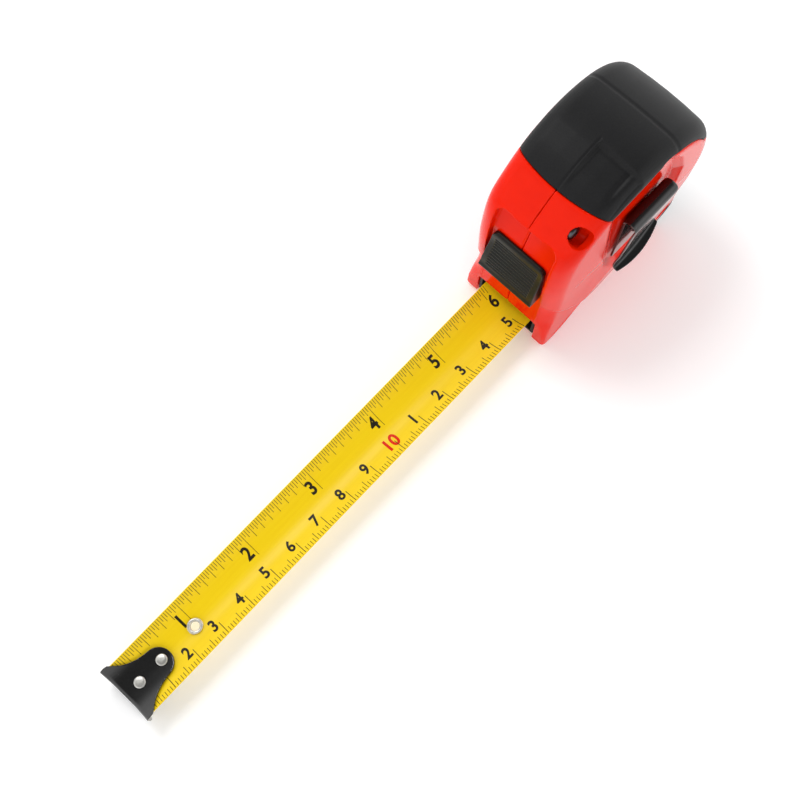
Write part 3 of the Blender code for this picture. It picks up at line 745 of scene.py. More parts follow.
@dataclass
class Case:
    """The two red shells and the rubber over their back.

    Attributes:
        half_width: Half the case's width at Y = 0.
        taper: How much wider the case gets towards the back, per mm.
        back: Centre of the round back, (Y, Z).
        back_radius: Radius of the round back.
        front: Y of the flat front above the feet.
        shoulder: Radius between the outline and the sides.
        base_edge: Radius of the bottom edges.
        crown: How much the top is crowned from side to side.
        heel: Centre (Y, Z) of the round lower back corner.
        heel_radius: Its radius.
        seam: Width of the line between the shells.
        grip_thick: Thickness of the rubber.
        grip_front: Where the rubber starts on top, (Y, Z).
        joint: Gap round the rubber.
        wall: Thickness of the shells.
        inner: Distance of the side walls' inner faces from the middle.
        mouth_half: Half the mouth's width.
        mouth_top: Z of the mouth's top edge.
        floor: Thickness of the case's floor.
        foot_step: How far the feet's sides are set back under their ledge.
        foot_flare: How much wider the case gets at the front feet, as a share.
        tuck: How much narrower the case gets low down at the back, as a share.
        channel_half: Half the width of the lock's channel.
        channel_top: Z of its top edge.
        channel_corner: Radius of its top corners.
        front_screw: Y, Z and the X of the front screw's seat.
        rear_screw: The same for the rear screw.
        reel: Axis of the reel and of the clip's screw, (Y, Z).
    """

    half_width: float = 15.4
    taper: float = 0.001
    back: Point = (0.5, 41.0)
    back_radius: float = 34.5
    front: float = -27.9
    shoulder: float = 5.0
    base_edge: float = 1.2
    crown: float = 0.4
    heel: Point = (22.6, 9.0)
    heel_radius: float = 9.0
    seam: float = 0.03
    grip_thick: float = 1.5
    grip_front: Point = (-15.9, 70.2)
    joint: float = 0.12
    wall: float = 2.0
    inner: float = 12.2
    mouth_half: float = 10.8
    mouth_top: float = 12.1
    floor: float = 2.5
    foot_step: float = 1.15
    foot_flare: float = 0.03
    tuck: float = 0.1
    channel_half: float = 10.1
    channel_top: float = 60.5
    channel_corner: float = 3.0
    front_screw: tuple[float, float, float] = (-18.8, 63.6, 8.9)
    rear_screw: tuple[float, float, float] = (25.0, 10.5, 11.9)
    reel: Point = (6.2, 36.5)

    def outline(self) -> Outline:
        """The side view at the middle of the case, anticlockwise in (Y, Z)."""
        front = self.front
        base = [(front + 1.2, 0.0)] + [(y, 0.0) for y in range(-22, 20, 6)]
        heel = arc(self.heel, self.heel_radius, -90, -14, 12)
        rear_top = arc(self.back, self.back_radius, -10, -8, 1)
        rear = spline([heel[-1], (32.1, 15.0), (33.0, 21.5), (34.0, 27.6), rear_top[0]], 5)
        top = arc(self.back, self.back_radius, -10, 96, 54)
        cheek = [(-9.6, 73.6), self.grip_front, (-20.6, 66.0), (-24.8, 61.1), (-26.8, 56.0)]
        cheek += [(-27.8, 49.0), (-28.25, 42.0), (-28.2, 35.0), (front, 28.0), (front, 22.0)]
        nose = spline([top[-1]] + cheek, 5)[1:]
        foot = [(front, z) for z in (22.0, 16.0, 11.0, 6.0, 1.2)]
        return base + heel + rear[1:] + top + nose + foot

    def shoulder_at(self, z: float) -> float:
        """How round the edge to the side is at a height."""
        return self.base_edge + (self.shoulder - self.base_edge) * float(ramp(z, 5.0, 21.0))

    def width_share(self, y: float, z: float) -> float:
        """How the case's width varies: tucked in low down at the back, flared at the front feet."""
        widening = 1 + self.taper * y
        tuck = self.tuck * (1 - float(ramp(z, 0.0, 38.0))) * float(ramp(y, -24.0, 6.0))
        flare = self.foot_flare * (1 - float(ramp(z, 0.0, 26.0))) * (1 - float(ramp(y, -24.0, -5.0)))
        return widening * (1 - tuck + flare)

    def form(self, name: str, inset: float = 0.0, steps: int = 8) -> Solid:
        """The case's outer form, or one a distance inside it.

        Args:
            name: The object's name.
            inset: How far inside the outer form it lies.
            steps: Chords round each shoulder.

        Returns:
            The closed solid.
        """
        outline = self.outline()
        radii = [max(0.3, self.shoulder_at(z) - inset) for _, z in outline]
        turns = [math.radians(90 - 90 * step / steps) for step in range(steps + 1)]
        sections = [(-1.0, turn) for turn in turns] + [(share, None) for share in (-0.5, 0.0, 0.5)]
        sections += [(1.0, turn) for turn in turns[::-1]]
        normals = [(a[0] - b[0], a[1] - b[1]) for a, b in zip(grow(outline, 1.0), outline)]
        rings = []
        for share, turn in sections:
            ring = []
            for (y, z), radius, normal in zip(outline, radii, normals):
                crown = self.crown * share * share * float(ramp(z, 8.0, 30.0))
                if turn is None:
                    depth = inset + crown
                    x = share * (self.half_width - inset - radius)
                else:
                    depth = inset + crown + radius * (1 - math.cos(turn))
                    x = share * (self.half_width - inset - radius * (1 - math.sin(turn)))
                place = (y - normal[0] * depth, z - normal[1] * depth)
                ring.append((x * self.width_share(y, z), place[0], place[1]))
            rings.append(ring)
        return loft(name, rings)

    def lock_floor(self, z: float) -> float:
        """Y of the lock channel's floor."""
        low = self.front + 0.9 + 0.0466 * (min(z, 49.0) - 18.0)
        return low + 0.29 * max(0.0, z - 49.0)

    def grip_outline(self, spare: float) -> Outline:
        """The part of the side view that rubber covers, grown by a spare distance."""
        start = [self.grip_front, (-14.4, 67.6)]
        start += spline([(-13.3, 66.7), (-12.0, 66.4), (-2.0, 68.7), (6.6, 70.6)], 3)
        sweep = arc(self.back, self.back_radius - 4.0, 75, 27, 16)
        corner = spline([(28.9, 53.6), (30.6, 51.6), (31.9, 46.5), (32.4, 40.0), (32.4, 34.0)], 4)
        lower = spline([(32.3, 31.0), (31.6, 22.0), (30.0, 13.0), (27.4, 6.6), (25.6, 3.4)], 4)
        outer = [(24.4, -1.5), (60.0, -4.0), (60.0, 100.0), (-22.0, 78.0)]
        return grow(start + sweep + corner + lower + outer, spare)

    def grip_block(self, name: str, spare: float) -> Solid:
        """A solid over the rubber's area, its front edge bowed back towards the sides.

        Args:
            name: The object's name.
            spare: How far the area is grown.

        Returns:
            The solid.
        """
        outline = self.grip_outline(spare)
        rings = []
        for x in (-38.0, -14.2, -12.5, -10.5, -8.0, -5.0, -2.0, 2.0, 5.0, 8.0, 10.5, 12.5, 14.2, 38.0):
            back = 1.5 * min(1.0, abs(x) / 14.2) ** 2
            ring = []
            for y, z in outline:
                share = float(ramp(-y, 6.0, 13.0) * ramp(z, 50.0, 60.0))
                ring.append((x, y + back * share, z + 0.55 * back * share))
            rings.append(ring)
        return loft(name, rings)

    def half_tool(self, side: Side) -> Solid:
        """Everything beyond the parting line."""
        edge = side.value * self.seam / 2
        low, high = sorted((edge, -side.value * 40.0))
        return block("beyond_seam", (low, -50, -20), (high, 60, 100))

    def cavity(self) -> Solid:
        """The hollow for the reel."""
        front = [(self.lock_floor(z) + self.wall, z) for z in (13.5, 30.0, 48.9, 56.0)]
        front += arc(self.front_screw[:2], 4.3, -95, 5, 6)
        top = arc(self.back, self.back_radius - self.grip_thick - self.wall, 110, -8, 26)
        rear = [(30.9, 29.0), (29.6, 20.0), (27.0, 10.0), (23.1, self.floor)]
        outline = [(-23.0, self.floor), (-23.0, self.mouth_top)] + front + top + rear
        return slab("cavity", outline[::-1], -self.inner, self.inner)

    def mouth(self) -> Solid:
        """The blade's way out, and the notch in front of the floor."""
        sill = self.floor + 0.15
        outline = [(-40.0, -5.0), (-25.5, -5.0), (-25.5, sill), (-21.2, sill)]
        outline += [(-21.2, self.mouth_top + 0.1), (-40.0, self.mouth_top)]
        return slab("mouth", outline, -self.mouth_half, self.mouth_half)

    def channel(self) -> Solid:
        """The recess that the lock slides in."""
        half, corner = self.channel_half, self.channel_corner
        front = [(-half, 10.0), (half, 10.0)]
        front += arc((half - corner, self.channel_top - corner), corner, 0, 90, 8)
        front += arc((corner - half, self.channel_top - corner), corner, 90, 180, 8)
        tool = slab_front("channel", front, -45.0, -12.0)
        floor = [(self.lock_floor(z), z) for z in (0.0, 49.0, 52.0, 70.0)]
        return use(tool, Solver.CUT, slab("channel_floor", [(0.0, 0.0), (0.0, 70.0)] + floor[::-1], -30, 30))

    def pocket(self) -> Solid:
        """The clip's recess, with sloping walls that end under the rubber."""
        floor = [(4.4, 13.6), (14.6, 12.0), (17.0, 15.0), (18.2, 50.0), (15.0, 60.0)]
        floor += [(8.8, 71.6), (-9.0, 66.6), (-4.8, 36.0), (-3.2, 24.6)]
        rim = [(2.4, 11.0), (16.4, 7.6), (20.4, 12.6), (20.6, 50.0), (16.6, 62.0)]
        rim += [(9.4, 74.0), (-12.6, 68.0), (-8.4, 36.0), (-6.4, 25.0)]
        levels = ((13.9, floor), (15.45, rim), (17.0, rim))
        return loft("pocket", [[(x, y, z) for y, z in outline] for x, outline in levels])

    def foot_tool(self) -> Solid:
        """What is taken off the feet, under a ledge that sweeps down from the lock to the base."""
        line = [(4.0, -5.0), (-1.0, 0.0), (-4.6, 2.2), (-8.6, 5.2), (-13.8, 9.6), (-20.4, 18.2)]
        line += [(-24.2, 24.6), (-25.8, 26.9), (-27.4, 28.4), (-40.0, 29.2), (-40.0, -5.0)]
        tool = slab("foot_step", line, -40.0, 40.0)
        smaller = replace(self, half_width=self.half_width - self.foot_step, front=self.front + 0.5)
        core = smaller.form("foot_core")
        for vertex in core.data.vertices:
            low = max(0.0, 1 - vertex.co.z / (28.0 * MM))
            vertex.co.x += math.copysign((self.foot_step - 0.1) * low * MM, vertex.co.x)
        core.location.z = -0.06 * MM
        return use(tool, Solver.CUT, core)

    def screw_scoop(self) -> Solid:
        """The round hollow in the shoulder round the front screw."""
        radius = 3.2
        profile = [(12.1 - a, b) for a, b in arc((0.0, 0.0), radius, 0, 180, 24)]
        y, z, _ = self.front_screw
        return turned("screw_scoop", profile, along_x(y - 0.6, z + 1.5), 48)

    def shell(self, side: Side) -> Solid:
        """One red shell.

        Args:
            side: Which shell.

        Returns:
            The piece.
        """
        sign = side.value
        name = "case_" + side.name.lower()
        body = self.form(name)
        seat = self.grip_block("grip_seat", self.joint)
        use(seat, Solver.CUT, self.form("grip_core", self.grip_thick + self.joint))
        use(body, Solver.CUT, self.half_tool(side), seat, self.cavity())
        low, high = sorted((sign * self.seam / 2, sign * (self.inner + 0.5)))
        use(body, Solver.JOIN, rod("boss", *self.rear_screw[:2], 4.4, low, high))
        use(body, Solver.CUT, self.channel(), self.mouth(), self.foot_tool())
        use(body, Solver.CUT, block("stem_slot", (-2.8, -32.0, 34.4), (2.8, -18.0, 46.5)))
        low, high = sorted((sign * 6.0, sign * 20.0))
        tools = [rod("post_hole", *self.reel, 1.6, low, high)]
        for y, z, seat_x in (self.front_screw, self.rear_screw):
            front = y < 0
            start, end = (0.0, 12.5 if front else 20.0) if sign > 0 else (-9.0, 0.0)
            tools.append(rod("screw_hole", y, z, 1.6, start, end))
            if sign > 0:
                tools.append(rod("head_hole", y, z, 2.6 if front else 3.2, seat_x, 12.5 if front else 25.0))
        if sign > 0:
            tools += [self.pocket(), self.screw_scoop()]
        else:
            tools.append(rod("post_head", *self.reel, 3.1, -25.0, -13.2))
        use(body, Solver.CUT, *tools)
        fillet(body, 0.26, 3)
        if side is Side.LEFT:
            press(body, self.label_step, 2)
        node = f"case_shell_{side.name.lower()}"
        return dress(body, RED_PLASTIC, "case", node)

    def label_step(self, points: np.ndarray, normals: np.ndarray) -> np.ndarray:
        """A shallow round panel on the plain side."""
        x, y, z = points.T
        reach = np.hypot(y - self.reel[0], z - self.reel[1])
        inside = 1 - ramp(reach, 20.6, 21.2)
        return 0.35 * inside * ramp(np.abs(x), 12.9, 13.4) * ramp(-normals[:, 0], 0.2, 0.7)

    def grip(self) -> Solid:
        """The rubber over the top and back, with its seam, thumb rest and moulded lines."""
        body = self.grip_block("rubber_grip", 0.0)
        use(body, Solver.CUT, self.form("grip_core", self.grip_thick))
        use(body, Solver.KEEP, self.form("grip_skin"))
        fillet(body, 0.24, 4)
        press(body, self.grip_relief, 1)
        return dress(body, BLACK_RUBBER, "case", "rubber_grip_right", "rubber_grip_left")

    def grip_relief(self, points: np.ndarray, normals: np.ndarray) -> np.ndarray:
        """How deep the rubber's moulded marks are."""
        x, y, z = points.T
        reach = np.hypot(y - self.back[0], z - self.back[1])
        outer = ramp(reach, self.back_radius - 1.3, self.back_radius - 0.7)
        outer = np.maximum(outer, ramp(z, 55.0, 60.0) * ramp(normals[:, 2], -0.1, 0.4))
        outer = outer * ramp(np.abs(normals[:, 0]), 1.0, 0.9)
        seam = 0.3 * bump(x, 0.0, 0.4) * (1 - ramp(y, -0.4, 0.2)) * ramp(z, 50, 60)
        rest = ramp(y, -15.5, -5.0) * (1 - ramp(y, -2.1, -0.5)) * ramp(x, 0.1, 1.6)
        rest = 1.3 * rest * (1 - 0.5 * ramp(x, 11.5, 14.0))
        groove = 0.25 * bump(x, 11.4, 1.5) * ramp(y, -13.0, -7.0) * (1 - ramp(y, -2.0, -0.6))
        line = 0.2 * bump(y, 13.6, 1.1) * ramp(z, 50, 60)
        return outer * (seam + rest + groove + line)

    def lining(self) -> Solid:
        """The black insert in the mouth."""
        half = self.mouth_half - 0.25
        inner = half - 0.95
        low, top = 2.85, self.mouth_top - 0.3
        outline = [(-half, low), (half, low), (half, top), (inner, top), (inner, low + 1.2)]
        outline += [(-inner, low + 1.2), (-inner, top), (-half, top)]
        body = slab_front("mouth_lining", outline, -26.9, -23.5)
        fillet(body, 0.16, 2)
        return dress(body, BLACK_RUBBER, "case", "mouth_bumper")

    def build(self) -> None:
        """Builds the shells, the rubber and the mouth's lining."""
        for side in Side:
            self.shell(side)
        self.grip()
        self.lining()


# ---------------------------------------------------------------- the lock


@dataclass
class Lock:
    """The ribbed thumb lock.

    Attributes:
        case: The case that it slides on.
        low: Z of its lower lip.
        high: Z of its top edge.
        low_half: Half its width at the lip.
        high_half: Half its width at the top.
        ribs: How many cross ribs it has.
    """

    case: Case
    low: float = 31.3
    high: float = 48.6
    low_half: float = 9.5
    high_half: float = 8.9
    ribs: int = 11

    def build(self) -> None:
        """Builds the thumb piece with its ribs."""
        back_low = self.case.lock_floor(self.low) - 0.2
        back_high = self.case.lock_floor(self.high) - 0.2
        front = [(back_high - 0.2, self.high), (back_high - 1.0, self.high - 0.15)]
        front += [(back_high - 1.5, self.high - 0.9), (back_high - 2.0, self.high - 5.0)]
        front += [(back_low - 3.2, self.low + 6.0), (back_low - 3.9, self.low + 2.4)]
        front += [(back_low - 4.4, self.low + 1.2), (back_low - 4.3, self.low + 0.3)]
        outline = [(back_low - 3.8, self.low), (back_low, self.low), (back_high, self.high - 0.3)]
        outline += spline(front, 4) + [front[-1]]
        body = slab("thumb_lock", outline, -self.low_half, self.low_half)
        face = [(-self.low_half, self.low - 1.0), (self.low_half, self.low - 1.0)]
        corner, top = 2.4, self.high + 0.2
        face += arc((self.high_half - corner, top - corner), corner, 3, 90, 8)
        face += arc((corner - self.high_half, top - corner), corner, 90, 177, 8)
        use(body, Solver.KEEP, slab_front("lock_face", face, -40.0, -15.0))
        use(body, Solver.CUT, block("stem_seat", (-2.8, -28.6, 34.7), (2.8, -20.0, 38.7)))
        fillet(body, 0.14, 5)
        press(body, self.rib_depth, 1)
        dress(body, BLACK_PLASTIC, "lock", "lock_button")

    def rib_depth(self, points: np.ndarray, normals: np.ndarray) -> np.ndarray:
        """Grooves between the cross ribs on the front face."""
        x, _, z = points.T
        low, high = self.low + 3.0, self.high - 1.9
        share = (z - low) / (high - low)
        wave = 0.5 - 0.5 * np.cos(math.tau * share * self.ribs)
        inside = ramp(share, -0.01, 0.01) * (1 - ramp(share, 0.99, 1.01))
        width = 1 - ramp(np.abs(x), 7.0, 7.5)
        return 0.32 * wave**1.5 * inside * width * ramp(-normals[:, 1], 0.4, 0.8)


# ---------------------------------------------------------------- the blade


@dataclass
class Blade:
    """The drawn-out blade with its printed scales.

    Attributes:
        hook_y: Y of the scales' zero.
        chord: Width of the curved blade.
        sag: Height of its edges over its middle.
        thick: Thickness.
        low: Z of its underside at the middle.
        bend: Y where it starts to rise to the reel.
        inner_end: Y of its end at the reel.
        inner_top: Z of its underside there.
        wound_half: Half its width where it lies flat on the reel.
        eyelet: Distance of the eyelet from zero.
        inch: Length of an inch.
        ink: Height of the print over the blade.
        keep: How much of its length is left when the blade is in.
    """

    hook_y: float = -178.9
    chord: float = 17.34
    sag: float = 3.3
    thick: float = 0.22
    low: float = 6.5
    bend: float = -9.0
    inner_end: float = 5.6
    inner_top: float = 11.85
    wound_half: float = 9.4
    eyelet: float = 24.8
    inch: float = 25.4
    ink: float = 0.014
    keep: float = field(default=0.0)

    def __post_init__(self) -> None:
        """Works out the blade's curve and how far it shortens."""
        self.radius = (self.chord**2 / 4 + self.sag**2) / (2 * self.sag)
        self.half_angle = math.asin(self.chord / 2 / self.radius)
        self.half_arc = self.radius * self.half_angle
        length = self.inner_end - self.hook_y - 0.5
        travel = max(j["range_m"][1] for j in frame["joints"] if j["name"] == "blade_slide") / MM
        self.keep = (length - travel) / length

    def surface(self, across: float, lift: float = 0.0) -> Point:
        """(X, Z) on the blade's upper face at a distance across it from the middle."""
        angle = across / self.radius
        reach = self.radius - self.thick - lift
        return reach * math.sin(angle), self.low + self.radius - reach * math.cos(angle)

    def shorten(self, obj: Solid) -> Solid:
        """Gives a piece its own copy of its mesh."""
        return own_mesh(obj)

    def strip(self) -> Solid:
        """The blade itself, curved outside and flattening towards the reel."""
        columns = 28
        start = self.hook_y + 0.5
        rows = [(start, 0.9, 0.0), (start + 0.5, 0.965, 0.0), (start + 1.1, 1.0, 0.0)]
        rows += [(start + 1.1 + step * 4.0, 1.0, 0.0) for step in range(1, 41)]
        rows = [row for row in rows if row[0] < self.bend - 1.0] + [(self.bend, 1.0, 0.0)]
        rows += [(self.bend + (self.inner_end - self.bend) * s / 12, 1.0, s / 12) for s in range(1, 13)]
        rings = []
        for y, width, share in rows:
            half = (self.chord / 2 + (self.wound_half - self.chord / 2) * share) * width
            radius = self.radius / max(0.03, 1 - share)
            middle = self.low + float(ramp(share, 0.0, 1.0)) * (self.inner_top - self.low) + radius
            under, over = [], []
            for column in range(columns + 1):
                across = 2 * column / columns - 1
                angle = across * math.asin(half / radius)
                for side, reach in ((under, radius), (over, radius - self.thick)):
                    side.append((reach * math.sin(angle), y, middle - reach * math.cos(angle)))
            rings.append(under + over[::-1])
        body = loft("blade", rings)
        ring = arc((0, self.hook_y + self.eyelet), 1.7, 0, 345, 23)
        use(body, Solver.CUT, loft("eyelet_hole", [[(x, y, z) for x, y in ring] for z in (4.0, 10.0)]))
        crisp(body)
        return self.shorten(dress(body, YELLOW_BLADE, "case", "blade_strip"))

    def mark(self, along: float, start: float, end: float, width: float) -> list[list[Place]]:
        """A printed line across the blade, as rows of points.

        Args:
            along: Distance of its middle from the scale's zero.
            start: Distance across the blade of one end.
            end: Distance across of the other end.
            width: Its width.

        Returns:
            Pairs of points for a strip of faces.
        """
        steps = max(1, round(abs(end - start) / 0.7))
        rows = []
        for step in range(steps + 1):
            x, z = self.surface(start + (end - start) * step / steps, self.ink)
            y = self.hook_y + along
            rows.append([(x, y - width / 2, z), (x, y + width / 2, z)])
        return rows

    def ticks(self) -> Solid:
        """Both scales' tick marks as one thin print."""
        strips = []
        edge = self.half_arc - 0.12
        for step in range(2, 151):
            length, width = 2.0, 0.17
            if step % 5 == 0:
                length = 3.3
            if step % 10 == 0:
                length, width = 5.1, 0.2
            strips.append(self.mark(step, edge, edge - length, width))
        for step in range(3, 191):
            length = 2.0
            for every, longer in ((2, 2.8), (4, 4.1), (32, 8.2)):
                if step % every == 0:
                    length = longer
            strips.append(self.mark(step * self.inch / 32, -edge, length - edge, 0.15))
        return self.print_strips("scale_ticks", strips)

    def print_strips(self, name: str, strips: list[list[list[Place]]]) -> Solid:
        """Joins printed strips into one object."""
        points, faces = [], []
        for strip in strips:
            first = len(points)
            points += [point for row in strip for point in row]
            for row in range(len(strip) - 1):
                corner = first + 2 * row
                faces.append((corner, corner + 1, corner + 3, corner + 2))
        mesh = bpy.data.meshes.new(name)
        mesh.from_pydata(metres(points), [], faces)
        return self.face_up(put(name, mesh))

    @staticmethod
    def face_up(obj: Solid) -> Solid:
        """Turns each face of a print upwards."""
        data = bmesh.new()
        data.from_mesh(obj.data)
        data.normal_update()
        wrong = [face for face in data.faces if face.normal.z < 0]
        bmesh.ops.reverse_faces(data, faces=wrong)
        data.to_mesh(obj.data)
        data.free()
        return obj

    def figure(self, text: str, along: float, across: float, height: float, narrow: float = 0.84) -> Solid:
        """A printed figure, laid on the curved blade.

        Args:
            text: Its digits.
            along: Distance of its middle from the scale's zero.
            across: Distance of its middle from the blade's middle, towards +X.
            height: Height of the digits.
            narrow: Width of the digits as a share of the plain font's.

        Returns:
            The figure's mesh object.
        """
        curve = bpy.data.curves.new("figure_" + text, "FONT")
        curve.body = text
        curve.align_x = "CENTER"
        curve.size = 1.0
        curve.offset = 0.03
        curve.resolution_u = 6
        flat = put("figure_" + text, curve)
        bpy.context.view_layer.update()
        mesh = bpy.data.meshes.new_from_object(flat.evaluated_get(bpy.context.evaluated_depsgraph_get()))
        bpy.data.objects.remove(flat, do_unlink=True)
        data = bmesh.new()
        data.from_mesh(mesh)
        for vertex in data.verts:
            vertex.co.z = 0.0
        bmesh.ops.remove_doubles(data, verts=data.verts, dist=1e-5)
        rises = [vertex.co.y for vertex in data.verts]
        sides = [vertex.co.x for vertex in data.verts]
        tall, wide_middle = max(rises) - min(rises), (max(sides) + min(sides)) / 2
        scale = height / tall
        for cut in range(1, 8):
            level = min(rises) + tall * cut / 8
            geometry = data.verts[:] + data.edges[:] + data.faces[:]
            bmesh.ops.bisect_plane(data, geom=geometry, plane_co=(0, level, 0), plane_no=(0, 1, 0))
        for vertex in data.verts:
            up = (vertex.co.y - min(rises)) * scale - height / 2
            right = (vertex.co.x - wide_middle) * scale * narrow
            x, z = self.surface(across - up, self.ink)
            vertex.co = Vector((x, self.hook_y + along + right, z)) * MM
        data.to_mesh(mesh)
        data.free()
        return self.face_up(put("figure_" + text, mesh))

    @staticmethod
    def merge(name: str, parts: Sequence[Solid]) -> Solid:
        """Joins meshes into one object and removes the parts."""
        data = bmesh.new()
        for part in parts:
            data.from_mesh(part.data)
        mesh = bpy.data.meshes.new(name)
        data.to_mesh(mesh)
        data.free()
        for part in parts:
            bpy.data.objects.remove(part, do_unlink=True)
        return put(name, mesh)

    def figures(self) -> None:
        """The numbers of both scales: black for units, red for the ten."""
        metric_row = self.half_arc - 5.7
        black = [self.ticks()]
        for number in list(range(2, 10)) + list(range(11, 16)):
            black.append(self.figure(str(number % 10), number * 10 - 1.75, metric_row, 3.9))
        for number in range(1, 7):
            place = number * self.inch - 2.1
            if number == 1:
                place -= 0.3
            black.append(self.figure(str(number), place, 5.7 - self.half_arc, 4.4))
        red = [self.figure("10", 99.3, metric_row + 0.2, 4.4, 0.9)]
        self.shorten(dress(self.merge("print_black", black), BLACK_INK, "case", slot="yellow_blade"))
        self.shorten(dress(self.merge("print_red", red), RED_INK, "case", slot="yellow_blade"))

    def build(self) -> None:
        """Builds the blade and its print."""
        self.strip()
        self.figures()


@dataclass
class Hook:
    """The end hook with its rivets, and the eyelet behind it.

    Attributes:
        blade: The blade that it is fixed to.
        thick: Thickness of its sheet.
        lip_half: Half the lip's width.
        reach: How far the lip's outer face is in front of zero.
        bend: Outer radius between lip and tongue.
        tongue: (distance from zero, half width) along the tongue.
        rivets: Distances of the two rivets from zero.
        round_centre: Distance of the round end's centre from zero.
    """

    blade: Blade
    thick: float = 0.8
    lip_half: float = 9.2
    reach: float = 1.3
    bend: float = 1.3
    rivets: Point = (4.1, 12.3)
    tongue: Sequence[Point] = (
        (1.2, 9.0), (2.2, 8.1), (3.6, 6.9), (5.2, 5.9), (7.2, 5.1), (9.2, 4.6), (11.2, 4.3),
    )
    round_centre: float = 11.2

    def top(self, x: float) -> float:
        """Z of the tongue's upper face."""
        radius = 13.4
        base = self.blade.low + self.blade.thick + 0.15 + self.thick
        return base + radius - math.sqrt(radius**2 - x**2)

    def section(self, half: float, outer: Point, inner: Point, share: float = 1.0) -> list[Place]:
        """A ring of points round the sheet at one place of its length.

        Args:
            half: Half the sheet's width there.
            outer: The outer face's Y, and its Z from the tongue's top.
            inner: The same for the inner face.
            share: How much of the tongue's height counts, from 0 at the lip's foot to 1.

        Returns:
            The ring.
        """
        columns = 24
        across = [half * (2 * column / columns - 1) for column in range(columns + 1)]
        faces = [[(x, y, share * self.top(x) + z) for x in across] for y, z in (outer, inner)]
        return faces[0] + faces[1][::-1]

    def body(self) -> Solid:
        """The hook's bent sheet with its slot."""
        face, foot = self.blade.hook_y - self.reach, 0.25
        rings = []
        for share in (0.0, 0.12, 0.3, 0.55, 0.8, 1.0):
            half = self.lip_half - 3.6 * (1 - min(1.0, share / 0.55)) ** 1.6
            level = foot * (1 - share) - self.bend * share
            rings.append(self.section(half, (face, level), (face + self.thick, level), share))
        for step in range(1, 8):
            turn = math.radians(90 * step / 7)
            sheet = []
            for radius in (self.bend, self.bend - self.thick):
                y = face + self.bend - radius * math.cos(turn)
                sheet.append((y, radius * math.sin(turn) - self.bend))
            rings.append(self.section(self.lip_half, *sheet))
        half_widths = spline(list(self.tongue), 3)
        for angle in range(0, 88, 8):
            turn = math.radians(angle)
            half_widths.append((self.round_centre + 4.2 * math.sin(turn), 4.3 * math.cos(turn)))
        for distance, half in half_widths:
            y = self.blade.hook_y + distance
            rings.append(self.section(half, (y, 0.0), (y, -self.thick)))
        body = loft("hook", rings)
        top = self.top(0.0)
        slot = block("hook_slot", (-3.3, face - 1.0, top - 0.95), (3.3, face + 1.0, top - 0.5))
        use(body, Solver.CUT, slot)
        fillet(body, 0.13, 3)
        return dress(body, BLACK_PAINT, "hook", "end_hook")

    def rivet(self, name: str, distance: float) -> Solid:
        """A rivet with a low domed head and a flat foot."""
        head = self.top(0.0) + 0.12
        foot = self.blade.low - 2.0
        profile = [(foot - 0.2, 0.0), (foot - 0.2, 1.3), (foot, 1.5), (foot + 0.2, 1.4), (foot + 0.25, 1.0)]
        profile += [(head, 1.0), (head, 1.6), (head + 0.1, 1.66), (head + 0.28, 1.62), (head + 0.42, 1.4)]
        profile += [(head + 0.48, 1.0), (head + 0.5, 0.5), (head + 0.5, 0.0)]
        body = turned(name, profile, along_z(0.0, self.blade.hook_y + distance), 40)
        crisp(body, 50)
        return body

    def eyelet(self) -> Solid:
        """The rolled eyelet: a rounded collar above the blade and one below."""
        top = self.blade.low + self.blade.thick
        profile = arc((top + 0.35, 1.78), 0.5, -150, 60, 14)[::-1]
        profile += [(top + 0.1, 2.3), (top + 0.04, 1.6), (self.blade.low - 0.1, 1.6)]
        profile += [(self.blade.low - 0.25, 2.1), (self.blade.low - 0.55, 1.9), (self.blade.low - 0.6, 1.3)]
        body = turned("eyelet", profile, along_z(0.0, self.blade.hook_y + self.blade.eyelet), 48)
        crisp(body, 60)
        return body

    def build(self) -> None:
        """Builds the hook, rivets and eyelet."""
        self.body()
        for name, distance in zip(("hook_rivet_front", "hook_rivet_rear"), self.rivets):
            dress(self.rivet(name + "_head", distance), BRIGHT_STEEL, "blade", name)
        dress(self.eyelet(), BRIGHT_STEEL, "blade", "blade_eyelet")


# ---------------------------------------------------------------- clip and screws


